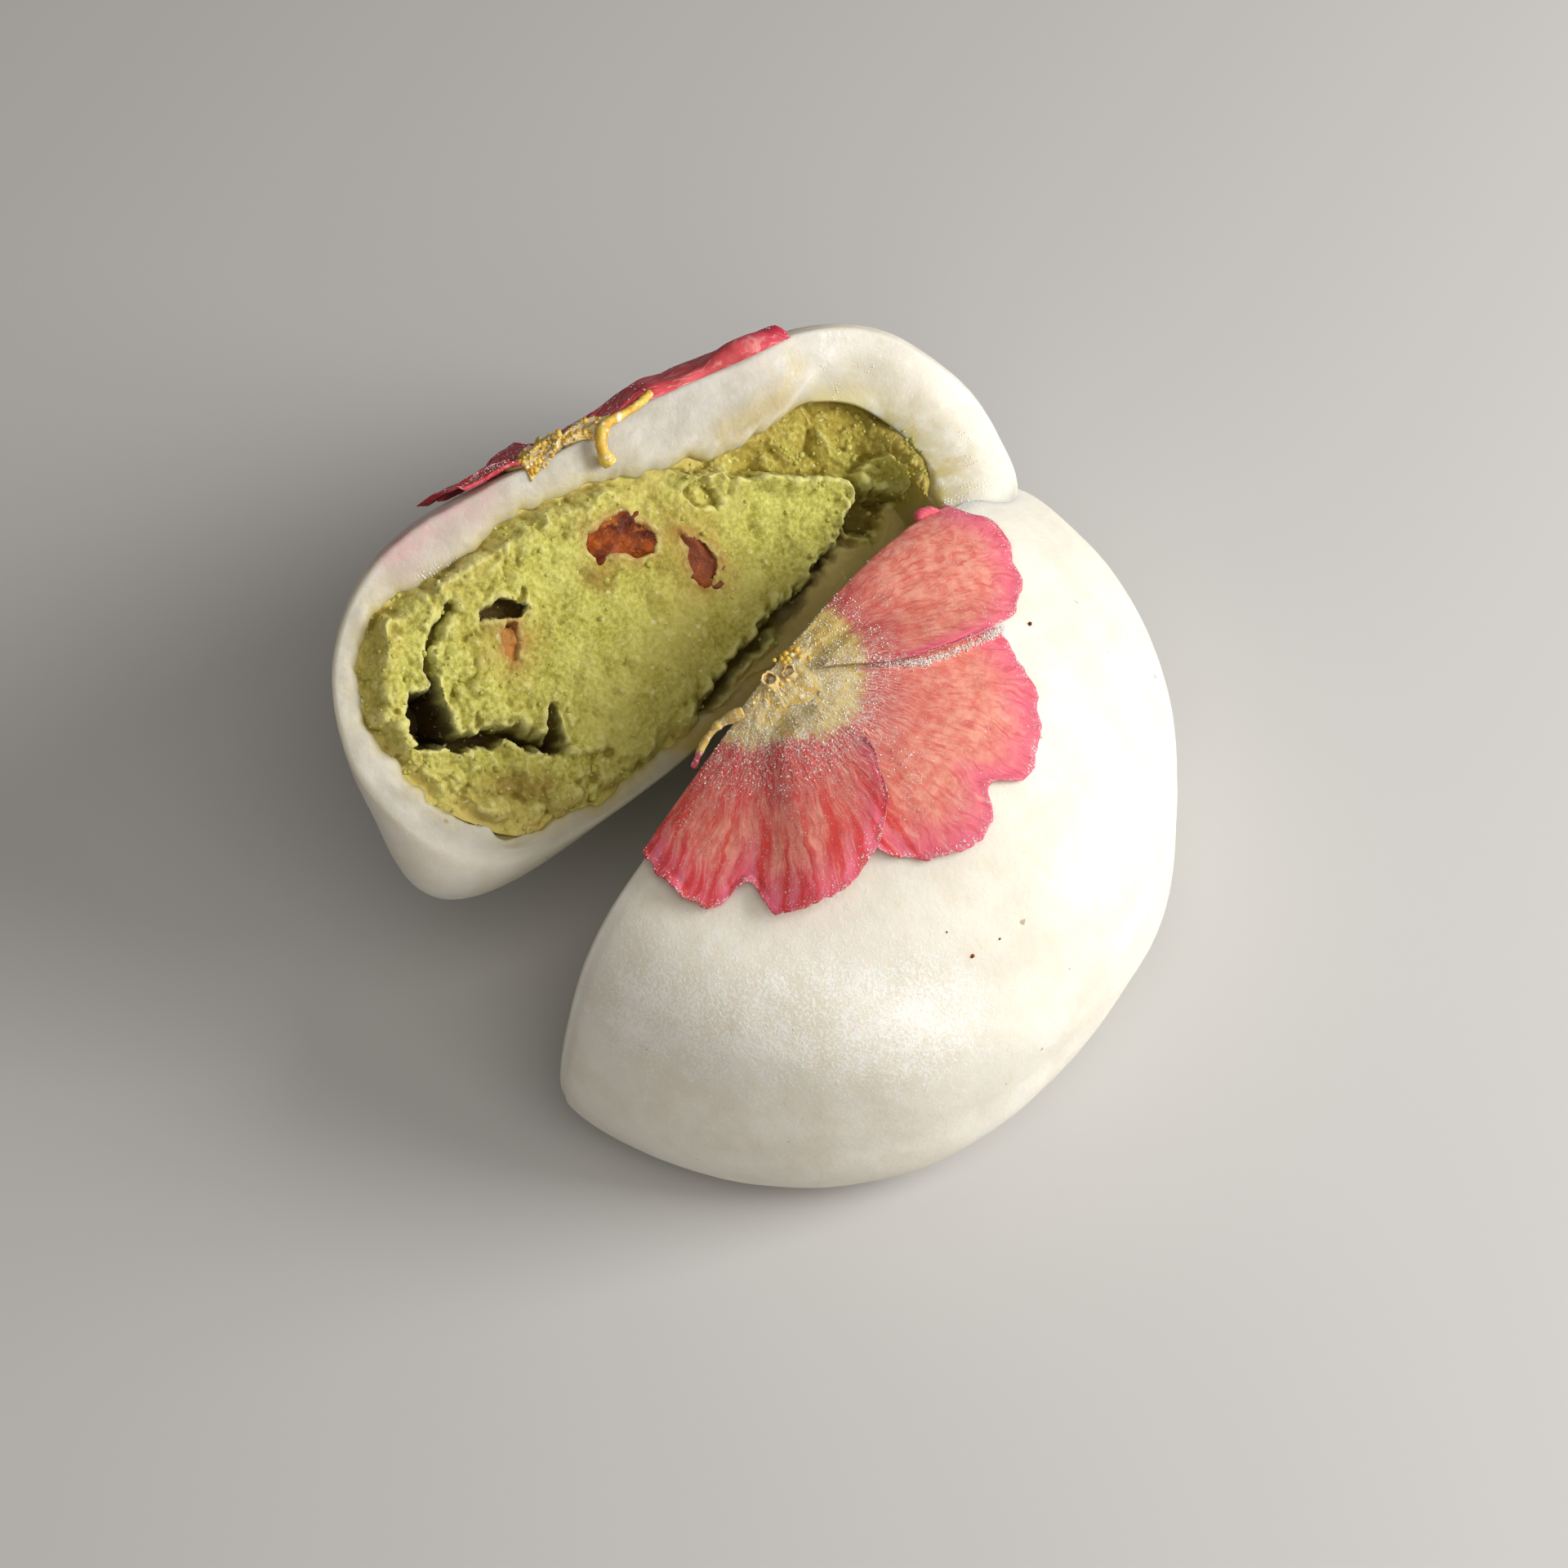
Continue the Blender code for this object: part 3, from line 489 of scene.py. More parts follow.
# %% Rows of one half
def dough_rows(half, toe, soft_end):
    """Local points of one half of dough, from the hollow's pole to the skin's, with two marks."""
    rim = closed_curve(half.rim, AROUND)
    inner = partners(rim, inset(closed_curve(half.paste, 2000), -GAP))
    flat = np.column_stack([inner, np.zeros(AROUND)])
    ragged = (0.45 * soft_noise(flat, 2.2, 31, 3) + 0.12) * (1.0 - soft_end(inner[:, 0]))
    inner, outer = inset(inner, ragged), inset(rim, EDGE_RADIUS)

    room_depth = half.depth - DEPTH_WALL + GAP
    room_v = room_depth * np.sin(np.linspace(0.5 * math.pi, 0.06, ROOM_ROWS))
    room = sections(inner, half, room_depth, room_v, swell=False)
    share = np.linspace(0.0, 1.0, CUT_ROWS)[:, None]
    face = cut_face(inner, outer, share, soft_end)
    edge = [
        np.column_stack([
            inset(rim, EDGE_RADIUS * (1.0 - math.sin(angle))),
            np.full(AROUND, EDGE_RADIUS * (1.0 - math.cos(angle))),
        ])
        for angle in np.linspace(0.0, 0.5 * math.pi, EDGE_ROWS + 1)[1:]
    ]
    start = math.asin(EDGE_RADIUS / half.depth)
    skin_v = half.depth * np.sin(np.linspace(start, 0.5 * math.pi, SKIN_ROWS + 2)[1:-1])
    rows = np.concatenate([room, face, np.array(edge), sections(rim, half, half.depth, skin_v)])
    if toe:
        rows[ROOM_ROWS:] = slump(rows[ROOM_ROWS:], rim)

    cut_end = ROOM_ROWS + CUT_ROWS
    on_face = np.zeros(rows.shape[:2])
    on_face[:cut_end] = 1.0
    on_face[cut_end: cut_end + EDGE_ROWS] = np.linspace(0.8, 0.0, EDGE_ROWS)[:, None]
    near_paste = np.zeros(rows.shape[:2])
    near_paste[:ROOM_ROWS] = 1.0
    wall, fade = np.linalg.norm(outer - inner, axis=1), 1.1 + 1.4 * soft_end(inner[:, 0])
    near_paste[ROOM_ROWS: cut_end] = np.exp(-share * wall / fade)
    return rows, on_face, near_paste


# %% Both halves
def build_dough(half, toe, soft_end, push):
    """World points of one half, bulged at the hinge and dented, with the marks of its cut face."""
    rows, on_face, near_paste = dough_rows(half, toe, soft_end)
    world = half.world(rows)
    skin = np.arange(len(rows))[:, None] >= ROOM_ROWS
    world[:, :, 2] = np.maximum(world[:, :, 2], np.where(skin, 0.0, FLOOR_WALL - GAP))
    world = np.where(skin[:, :, None], bulge(world, push), world)
    if toe:
        world = nipped(stretched(world, rows))
    dents = sum(height * soft_noise(world, size, seed) for height, size, seed in DENTS)
    lift = ease(world[:, :, 2] / 3.0) * (1.0 - on_face) * skin
    outward = world - world.mean(axis=(0, 1))
    outward /= np.linalg.norm(outward, axis=-1, keepdims=True)
    world = world + outward * (dents * lift)[:, :, None]
    return rows, world, {"cut": on_face, "near_paste": near_paste}


def back_end(u):
    """1 at the hinge end of the back half, where the cut face slopes into the hollow."""
    return ease((u - 17.0) / 7.0)


def front_end(u):
    """The same slope on the front half: half as strong, and nearer to the end."""
    return 0.5 * ease((u - 19.0) / 7.0)


FRONT_PUSH, BACK_PUSH = 0.8, -2.4
front_rows, front_world, front_marks = build_dough(front, False, front_end, FRONT_PUSH)
back_rows, back_world, back_marks = build_dough(back, True, back_end, BACK_PUSH)
print("points in one half of dough:", front_world.shape[0] * front_world.shape[1])

# %% [markdown]
# ## Stains and flour on the dough
# Marks are painted by distance. The pink stain follows the crown beside the flower. The green
# smear runs along the lower lip, where the knife dragged paste over it. Flour lies in the crease
# between the halves and in a drift below the flower on the left.

# %% Marks for colour
def near_line(points, route):
    """Distance from each point to a line through the points of a route."""
    nearest = np.full(points.shape[:-1], np.inf)
    for start, end in zip(route, route[1:]):
        start, run = np.array(start), np.subtract(end, start)
        share = np.clip((points - start) @ run / (run @ run), 0.0, 1.0)
        gap = np.linalg.norm(points - start - share[..., None] * run, axis=-1)
        nearest = np.minimum(nearest, gap)
    return nearest


def near_spots(rows, spots, width):
    """Largest bell of the distance from each point to any of the spots on the cut face."""
    plan = rows[:, :, None, :2] - np.array(spots)
    return bell(np.min(np.linalg.norm(plan, axis=-1), axis=-1), width)


PINK_LINE = [(-17.5, 29.4, 0.6), (-13.5, 30.0, 0.8), (-9.5, 29.6, 0.8)]
LOWER_SMEAR = [(-6.0, 0.6, 0.5), (4.0, 1.6, 0.5), (12.0, 2.4, 0.5), (19.0, 4.2, 0.5)]
UPPER_SMEAR = [(13.0, 20.0, 0.0), (19.0, 19.6, 0.0)]
CREASE = [
    (15.5, -2.6, 30.0), (18.5, -2.6, 28.2), (21.8, -2.6, 26.0), (25.1, -2.5, 23.7),
    (28.0, -2.3, 21.0), (30.6, -2.0, 17.6),
]
FLOUR_DRIFT = [(-27.0, 20.0, 6.0), (-24.0, 20.0, 12.0), (-16.0, 20.0, 24.0)]
STAINS = [
    (21.2, 21.0), (22.7, 16.2), (26.0, 15.6), (28.5, 10.3), (29.1, 6.7), (25.6, 2.4), (24.3, 4.6),
]
# Spots on the back half's cut face where white grains stand in for wet glints, as painted
# highlights.
GLINTS = [
    (31.6, 7.3), (30.5, 5.9), (26.8, 5.2), (26.7, 4.1), (28.8, 4.3), (24.7, 19.5),
    (25.0, 16.9), (28.3, 17.2), (-17.4, 26.0), (-14.7, 25.2), (-16.2, 25.8),
]
CREASE_WIDTH = 1.3

back_marks["pink"] = bell(near_line(back_rows, PINK_LINE), 2.6)
back_marks["green"] = bell(near_line(back_rows, LOWER_SMEAR), 2.0)
back_marks["green"] += 0.7 * bell(near_line(back_rows, UPPER_SMEAR), 1.5)
back_marks["drift"] = bell(near_line(back_world, CREASE), CREASE_WIDTH)
back_marks["ochre"] = near_spots(back_rows, STAINS, 2.0) * back_marks["cut"]
back_u, back_w = back_rows[:, :, 0], back_rows[:, :, 1]
# Painted light and sheen: this mark pales the cut face to cream towards the hinge end; it also
# makes it glossier there.
back_marks["wet_and_sheen"] = ease((back_u - 15.0) / 8.0) * ease((back_w - 1.0) / 2.0)
back_marks["wet_and_sheen"] *= 1.0 - 0.65 * ease((back_w - 11.0) / 6.0)

# The front half's cut face gets a little of the same painted light.
for label, value in (("ochre", 0.0), ("pink", 0.0), ("green", 0.0), ("wet_and_sheen", 0.3)):
    front_marks[label] = np.full(front_world.shape[:2], value)
drift = bell(near_line(front_rows, FLOUR_DRIFT), 6.5)
in_crease = bell(near_line(front_world, CREASE), CREASE_WIDTH)
front_marks["drift"] = np.maximum(0.95 * drift, in_crease)

dough_front = closed_body("dough_front", front_world, front_marks)
dough_back = closed_body("dough_back", back_world, back_marks)

# %% [markdown]
# ## Bean paste
# The paste broke as the halves were pulled apart. The back half kept most of it: a thick block
# with craggy cliffs, a sunken end, a shelf low on the left, holes, and cracks that run round a
# loose flap. The face is a height field, depth below the knife's cut for each (u, w). Ragged
# outlines come from shifting (u, w) by noise before any distance to an outline is measured, and
# crumbs from grain noise in three sizes.

# %% Distances that shape the broken face
def polygon_distance(u, w, corners):
    """Distance to a polygon's edge, positive inside it."""
    corners = np.asarray(corners, float)
    nearest = np.full(u.shape, np.inf)
    inside = np.zeros(u.shape, bool)
    for start, end in zip(corners, np.roll(corners, -1, axis=0)):
        nearest = np.minimum(nearest, segment_distance(u, w, start, end))
        spans = (start[1] > w) != (end[1] > w)
        rise = end[1] - start[1] if end[1] != start[1] else 1.0
        inside ^= spans & (u < start[0] + (end[0] - start[0]) * (w - start[1]) / rise)
    return np.where(inside, nearest, -nearest)


def segment_distance(u, w, start, end):
    """Distance to the nearest point of a straight stretch from start to end."""
    run = np.subtract(end, start)
    share = ((u - start[0]) * run[0] + (w - start[1]) * run[1]) / (run @ run)
    share = np.clip(share, 0.0, 1.0)
    return np.hypot(u - start[0] - share * run[0], w - start[1] - share * run[1])


def area(u, w, corners, slope):
    """1 inside a polygon, 0 outside, with an edge that wide."""
    return ease(0.5 + polygon_distance(u, w, corners) / slope)


def crack(u, w, route, width):
    """1 along a route, fading to the sides."""
    nearest = np.min([segment_distance(u, w, a, b) for a, b in zip(route, route[1:])], axis=0)
    return bell(nearest, width)


# %% What the back half's face looks like
BLOCK = [
    (-60.0, -40.0), (-7.0, 0.6), (-1.4, 3.2), (1.0, 3.9), (3.7, 4.5), (6.1, 5.0), (7.8, 5.7),
    (8.3, 4.8), (9.9, 5.2), (11.9, 5.5), (12.5, 6.4), (14.1, 6.3), (15.6, 6.6), (17.3, 6.2),
    (17.8, 7.4), (19.3, 8.4), (19.9, 9.6), (19.2, 10.8), (18.5, 11.7), (16.9, 12.7), (15.6, 14.2),
    (14.4, 15.5), (12.0, 16.9), (9.9, 18.2), (7.9, 18.9), (6.0, 21.5), (-4.0, 40.0), (-60.0, 40.0),
]
SHELF = [
    (-25.6, 15.0), (-22.8, 13.4), (-21.2, 12.6), (-19.4, 11.6), (-17.4, 9.4), (-16.6, 7.4),
    (-15.2, 6.0), (-12.5, 5.0), (-8.0, -4.0), (-40.0, -4.0), (-40.0, 15.0),
]
HOLE = [
    (-22.2, 19.4), (-22.9, 18.6), (-24.7, 19.0), (-25.7, 18.2), (-26.4, 16.7), (-26.4, 15.0),
    (-25.4, 14.3), (-24.1, 14.1), (-22.9, 16.2), (-22.5, 18.0),
]
POCKET = [(-26.6, 16.7), (-24.9, 15.6), (-25.2, 14.0), (-26.9, 14.6)]
SMALL_HOLE = [
    (-15.9, 20.9), (-13.7, 20.6), (-11.8, 19.1), (-12.8, 18.5), (-15.1, 19.4), (-16.3, 20.2),
]
HOLLOW = [
    (20.2, 10.0), (20.6, 8.7), (21.3, 7.7), (23.4, 6.0), (20.5, 5.2), (18.9, 5.9), (19.2, 8.0),
]
LUMP = [
    (23.4, 10.9), (25.1, 9.9), (25.8, 7.8), (24.2, 6.3), (22.7, 7.2), (21.2, 8.9), (21.2, 10.2),
]
FLAP = [(6.3, 18.6), (7.8, 18.7), (8.6, 17.4), (8.9, 15.6), (7.8, 15.2), (6.6, 16.6)]
BARE_STRIP = [
    (-2.0, -3.0), (-2.0, 1.5), (6.0, 3.0), (9.0, 4.4), (14.0, 5.4), (18.0, 5.4), (20.0, 4.2),
    (23.0, 5.4), (28.0, 4.0), (28.0, -3.0),
]
LOW_CRACK = [(-24.6, 14.3), (-21.9, 12.8), (-19.6, 11.6), (-17.8, 9.5), (-16.2, 7.9)]
SIDE_CRACK = [(-16.2, 7.9), (-15.4, 9.3), (-14.7, 10.3)]
TOP_CRACK = [(-17.5, 23.2), (-19.2, 22.7), (-20.6, 21.7), (-21.8, 19.8)]
SHORT_CRACK = [(-10.6, 20.7), (-12.0, 19.7)]
UNDER_BLOCK = [
    (-3.0, 2.3), (1.0, 3.4), (3.7, 4.0), (6.1, 4.5), (8.3, 4.4), (11.9, 5.0), (15.6, 6.1),
    (17.6, 6.5),
]
BROWN_SMUDGE, BROWN_PATCH = [(-5.2, 17.4), (-4.4, 16.4)], [(-22.2, 8.0), (-19.4, 5.9)]
HOLE_FLOOR, POCKET_FLOOR, STRIP_FLOOR = 4.8, 2.6, 1.3

# %% Where the nut bits lie
class Nut(NamedTuple):
    """A bit of nut: its CAD node, its outline on the face, and how deep its top and foot lie.

    Tone picks its colour, spill is how far it grows past the outline, and halo is how far its
    red juice has spread into the paste.
    """

    node: str
    outline: list
    top: float
    foot: float
    tone: float = 0.2
    spill: float = 0.75
    halo: float = 1.0


BACK_NUTS = [
    Nut("bit_back_1", [
        (-3.6, 20.6), (-1.6, 20.6), (0.6, 20.0), (1.9, 18.6), (2.2, 16.9), (1.0, 15.9),
        (-0.2, 16.6), (-1.4, 17.4), (-3.5, 17.8), (-3.9, 18.8),
    ], top=-0.42, foot=1.6, tone=0.0),
    Nut("bit_back_2", [
        (3.5, 15.6), (4.4, 15.0), (5.3, 13.3), (5.6, 11.8), (4.6, 10.7), (3.2, 11.2),
        (2.8, 12.8), (3.4, 14.2),
    ], top=-0.62, foot=1.2, tone=1.0, halo=1.5),
    Nut("bit_back_3", [
        (-15.7, 18.2), (-14.6, 18.6), (-13.8, 18.0), (-14.0, 16.7), (-15.2, 16.0), (-16.0, 16.8),
    ], top=-0.62, foot=1.0, tone=0.5, spill=0.15, halo=1.7),
]
FRONT_NUTS = [
    Nut("bit_front_1", [
        (-3.2, 20.4), (-1.2, 21.3), (1.2, 20.6), (1.7, 19.0), (0.2, 17.8), (-2.2, 18.0),
    ], top=0.5, foot=2.4),
    Nut("bit_front_2", [
        (7.8, 15.2), (9.6, 15.6), (10.4, 14.2), (9.6, 12.7), (8.2, 12.5), (7.5, 13.8),
    ], top=0.4, foot=2.0),
]
print("bits of nut:", [nut.node for nut in BACK_NUTS + FRONT_NUTS])

# %% Ragged edges and crumbs
FACE_TURN = np.array([(0.80, 0.60, 0.0), (-0.60, 0.80, 0.0), (0.0, 0.0, 1.0)])


def flat_points(u, w):
    """Points (u, w, 0), to read noise at."""
    return np.dstack([u, w, np.zeros_like(u)])


def shifted(u, w, seed):
    """(u, w) moved by noise, so that outlines measured from them come out ragged."""
    flat = flat_points(u, w) @ FACE_TURN
    patchy = 0.18 * ease(0.5 + 0.9 * soft_noise(flat, 3.6, seed + 23)) + 0.05
    du = 0.46 * soft_noise(flat, 3.3, seed, 2) + patchy * soft_noise(flat, 0.8, seed + 5, 3)
    dw = 0.46 * soft_noise(flat, 3.3, seed + 11, 2) + patchy * soft_noise(flat, 0.8, seed + 17, 3)
    return u + du, w + dw


def crumbly(u, w, seed, strength):
    """Unevenness of broken paste: soft lumps, rounded clumps of two sizes, and fine grain."""
    flat = np.dstack([u, w, np.full_like(u, 0.31)])
    bend = [soft_noise(flat, 1.6, seed + 6), soft_noise(flat, 1.6, seed + 7), np.zeros_like(u)]
    bent = flat + 0.9 * np.dstack(bend)
    lumps = 0.34 * soft_noise(flat, 5.0, seed) + 0.24 * soft_noise(flat, 2.4, seed + 9, 3)
    clumps = 0.95 * grain_noise(bent, 2.4, seed + 1) + 0.30 * grain_noise(bent, 1.1, seed + 2)
    grain = 0.12 * grain_noise(flat, 0.52, seed + 3) + 0.07 * soft_noise(flat, 0.34, seed + 4)
    return 0.30 - lumps - strength * clumps - (0.5 + 0.6 * strength) * grain


def toward(depth, floor, share):
    """A share of the way from the depth to a floor."""
    return depth + (floor - depth) * share


# %% The broken faces
def nut_beds(depth, u, w, nuts):
    """Lowers the face to each nut's foot inside its outline."""
    for nut in nuts:
        inside = ease(0.5 + (polygon_distance(u, w, nut.outline) - 0.2) / 0.45)
        depth = toward(depth, nut.foot, inside)
    return depth


def smooth_share(u, w, su, sw, top):
    """1 on the flat of the block, away from its cliffs, its holes and its cracks."""
    routes = (LOW_CRACK, SIDE_CRACK, TOP_CRACK, HOLE + HOLE[:1], SMALL_HOLE + SMALL_HOLE[:1])
    nearest = np.min([
        segment_distance(su, sw, a, b) for route in routes for a, b in zip(route, route[1:])
    ], axis=0)
    smooth = top * ease(nearest / 2.6) * ease(polygon_distance(su, sw, BLOCK) / 2.2)
    return smooth * ease((u + 20.0) / 8.0) * ease((23.5 - w) / 4.0)


def back_face(u, w):
    """Depth of the back half's broken face below the cut, and its marks."""
    su, sw = shifted(u, w, 60)
    block, shelf = area(su, sw, BLOCK, 1.0), area(su, sw, SHELF, 0.9)
    sunken = 1.1 + 1.9 * ease((u - 7.0) / 9.0) * ease(1.3 - (w - 12.0) / 12.0)
    depth = sunken * (1.0 - block) + 0.9 * shelf - 0.45 * block * (1.0 - shelf)
    smooth = smooth_share(u, w, su, sw, block * (1.0 - shelf))
    patchy = 0.5 + 0.5 * soft_noise(flat_points(u, w), 4.2, 58)
    depth = depth + crumbly(u, w, 70, 1.35 - (1.05 - 0.40 * patchy) * smooth)

    hole, pocket = area(su, sw, HOLE, 0.9), area(su, sw, POCKET, 0.8)
    small, hollow = area(su, sw, SMALL_HOLE, 0.4), area(su, sw, HOLLOW, 0.9)
    depth = toward(toward(depth, HOLE_FLOOR, hole), POCKET_FLOOR, pocket * hole)
    depth = depth + 2.3 * small + 1.7 * hollow
    depth = depth - 2.0 * area(su, sw, LUMP, 0.8) + 0.95 * area(su, sw, FLAP, 0.6)

    uneven = 1.0 + 0.7 * soft_noise(flat_points(u, w), 1.3, 66, 2)
    low = crack(su, sw, LOW_CRACK, 0.50 * uneven)
    side, top = (crack(su, sw, route, 0.30 * uneven) for route in (SIDE_CRACK, TOP_CRACK))
    depth = depth + 2.8 * low + 1.5 * side + 1.5 * top + 0.7 * crack(su, sw, SHORT_CRACK, 0.22)
    depth = nut_beds(depth, su, sw, BACK_NUTS)
    bare = area(su, sw, BARE_STRIP, 1.0) * (1.0 - block)
    gap = crack(su, sw, UNDER_BLOCK, 0.80 * uneven)
    depth = toward(depth, STRIP_FLOOR, 0.8 * bare) + 1.9 * gap

    # Painted shade: holes, cracks, the gap under the block and the deepest places of the block are
    # painted almost black.
    opened = hole - 0.35 * pocket * hole + 0.8 * small + 0.55 * hollow + low
    dark = np.max([
        np.clip(opened + 0.6 * side + 0.5 * top, 0.0, 1.0),
        0.80 * gap,
        ease((polygon_distance(su, sw, HOLE) + 0.50) / 0.40) * (1.0 - 0.6 * pocket),
        0.85 * ease((polygon_distance(su, sw, SMALL_HOLE) + 0.35) / 0.40),
        0.85 * crack(su, sw, LOW_CRACK, 0.62 * uneven),
        0.85 * crack(su, sw, SIDE_CRACK, 0.40 * uneven),
        0.95 * ease((depth - 1.2) / 1.5) * block * (1.0 - 0.8 * pocket),
    ], axis=0)
    red = np.max([
        np.exp(-np.maximum(-polygon_distance(su, sw, nut.outline), 0.0) / (0.8 * nut.halo))
        for nut in BACK_NUTS
    ], axis=0)
    brown = crack(u, w, BROWN_SMUDGE, 1.1) + crack(u, w, BROWN_PATCH, 1.5)
    return depth, {"dark": dark, "bare": bare, "loose": 1.0 - smooth, "red": red, "brown": brown}


def front_face(u, w):
    """Depth of the front half's face: the hollow that the back half's block left behind."""
    su, sw = shifted(u, w, 80)
    block, shelf = area(su, sw, BLOCK, 1.2), area(su, sw, SHELF, 1.0)
    depth = 0.9 * block * (1.0 - shelf) + 0.25 + crumbly(u, w, 90, 1.1)
    marks = dict.fromkeys(("dark", "bare", "red", "brown"), np.zeros_like(u))
    return nut_beds(depth, su, sw, FRONT_NUTS), {**marks, "loose": np.ones_like(u)}

# %% [markdown]
# ## The paste as a body
# The face is a table over the paste's outline: columns go along the cut, and in each column the
# rows run from the lower to the upper edge. The border of that table then becomes the first
# section of a body that fills the hollow in the dough, down to a pole. A height field alone gives
# cliffs that are smooth from top to foot, so steep places are first pushed sideways by noise.

# %% Paste bodies
FACE_COLUMNS, FACE_ROWS, SIDE_ROWS = 440, 180, 10


def outline_top_and_bottom(outline, u):
    """Heights of an outline's upper and lower side at each u."""
    left, right = np.argmin(outline[:, 0]), np.argmax(outline[:, 0])
    turned = np.roll(outline, -right, axis=0)
    split = (left - right) % len(outline)
    upper, lower = turned[: split + 1][::-1], np.vstack([turned[split:], turned[:1]])
    return np.interp(u, upper[:, 0], upper[:, 1]), np.interp(u, lower[:, 0], lower[:, 1])


def off_border(count, width):
    """0 at the first and last four of a row of points, easing to 1 over a width further in."""
    index = np.arange(count)
    return ease((index - 3.0) / width) * ease((count - 4.0 - index) / width)


def roughened(face, seed):
    """Moves steep places sideways by noise that changes with depth too: cliffs come out crumbly.

    The push is (slope / (1 + slope))^2 times the noise, along the slope.
    """
    u, w, depth = face[:, :, 0], face[:, :, 1], face[:, :, 2]
    along_w = np.gradient(depth, axis=0) / np.maximum(np.gradient(w, axis=0), 1e-3)
    along_u = np.gradient(depth, axis=1) / np.maximum(np.gradient(u, axis=1), 1e-3)
    slope = np.hypot(along_u, along_w)
    crags = 0.45 * soft_noise(face, 2.2, seed + 21, 2) + 0.28 * soft_noise(face, 0.8, seed + 22, 3)
    push = (slope / (1.0 + slope)) ** 2 * crags
    push = push * off_border(len(face), 6.0)[:, None] * off_border(face.shape[1], 8.0)
    slope = np.maximum(slope, 1e-6)
    return np.dstack([u + push * along_u / slope, w + push * along_w / slope, depth])


# %% The table over the paste
def paste_table(half, face_depth, soft_end, seed, pull):
    """Points (u, w, depth) over the paste's outline, and their marks.

    The border lies just behind the dough's lip, so that no trench shows between them.
    """
    outline = closed_curve(half.paste, 1200)
    flat = np.column_stack([outline, np.zeros(len(outline))])
    outline = inset(outline, -0.95 - 0.12 * soft_noise(flat, 1.1, seed, 2))
    low, high = outline[:, 0].min() + 0.01, outline[:, 0].max() - 0.01
    across = 0.5 - 0.5 * np.cos(np.linspace(0.0, math.pi, FACE_COLUMNS))
    across = 0.35 * across + 0.65 * np.linspace(0.0, 1.0, FACE_COLUMNS)
    u = low + (high - low) * across
    top, bottom = outline_top_and_bottom(outline, u)
    w = bottom + (top - bottom) * np.linspace(0.0, 1.0, FACE_ROWS)[:, None]
    u = np.broadcast_to(u, w.shape)
    depth, marks = face_depth(u, w)

    edge = polygon_distance(u, w, outline[::12])
    flat = flat_points(u, w)
    at_edge = 1.0 - ease((edge - 0.5) / (1.7 + 0.9 * soft_noise(flat, 1.9, seed + 3)))
    lip = SUNK_LIP + 0.22 + (END_SLOPE - SUNK_LIP) * soft_end(u)
    lip = lip + 1.1 * ease((u - 8.0) / 6.0) * ease((w - 10.0) / 3.0) * float(pull)
    lip = lip + 0.20 * soft_noise(flat, 1.4, seed + 6, 2)
    relief = np.clip(depth - local_mean(depth, 12), -0.8, 0.8) * ease((edge - 0.3) / 0.8)
    depth = depth + (lip + 0.75 * relief - depth) * at_edge * np.where(depth > 3.5, 0.6, 1.0)

    # Painted shade: the deeper places of the face turn browner, and so does the lower middle of the
    # back face, where the front half's shadow falls.
    shade = bell(np.hypot((u + 2.0) / 9.0, (w - 9.0) / 4.5), 1.0) if pull else 0.0
    marks["edge"] = np.exp(-np.maximum(edge - 0.8, 0.0) / 1.6)
    marks["low"] = np.clip(ease((depth - 0.3) / 2.4) + 0.55 * shade, 0.0, 1.0)
    # Painted light and shade: this mark makes the crumbs' ridges paler and the furrows between them
    # darker.
    marks["ridge"] = np.clip(local_mean(depth, 4) - depth, -0.4, 0.4)
    return np.dstack([u, w, depth]), marks


# %% From the table to a body
def paste_body(name, half, face_depth, soft_end, seed, pull=False):
    """The face, sides that run from its border down the hollow, and a pole that closes them."""
    table, marks = paste_table(half, face_depth, soft_end, seed, pull)
    face = roughened(table, seed)
    border = border_ring(face)
    room_depth = half.depth - DEPTH_WALL
    v = room_depth * np.sin(np.linspace(0.0, 0.5 * math.pi, SIDE_ROWS + 2)[1:-1])
    sides = sections(border[:, :2], half, room_depth, v, swell=False)
    behind = border[:, 2] + 0.05 * np.arange(1, SIDE_ROWS + 1)[:, None]
    sides[:, :, 2] = np.maximum(sides[:, :, 2], behind)
    face_world, side_world = half.world(face), half.world(sides)
    if pull:
        face_world = nipped(stretched(face_world, face))
        side_world = nipped(stretched(side_world, sides))
    for world in (face_world, side_world):
        world[..., 2] = np.maximum(world[..., 2], FLOOR_WALL)

    count = FACE_ROWS * FACE_COLUMNS
    ring = border_ring(np.arange(count).reshape(FACE_ROWS, FACE_COLUMNS))
    side_index = count + np.arange(SIDE_ROWS * len(ring)).reshape(SIDE_ROWS, len(ring))
    loops = np.vstack([ring, side_index])
    after = np.roll(loops, -1, axis=1)
    walls = np.stack([loops[:-1], loops[1:], after[1:], after[:-1]], axis=-1).reshape(-1, 4)
    fan = np.stack([loops[-1], np.full(len(ring), count + side_index.size), after[-1]], axis=-1)
    pole = side_world[-1].mean(axis=0)
    points = np.concatenate([face_world.reshape(-1, 3), side_world.reshape(-1, 3), [pole]])
    squares = grid_faces(FACE_ROWS, FACE_COLUMNS, False)
    if signed_volume(points, np.concatenate([squares, walls])) < 0.0:
        squares, walls, fan = squares[:, ::-1], walls[:, ::-1], fan[:, ::-1]
    hidden = len(points) - count
    spread = {
        label: np.concatenate([values.ravel(), np.full(hidden, float(label == "edge"))])
        for label, values in marks.items()
    }
    piece = add_piece(name, points, [squares, walls, fan], spread)
    deepest = round(float(table[:, :, 2].max()), 1)
    print(name, "has", len(piece.data.polygons), "faces, deepest point of its face", deepest)
    return piece


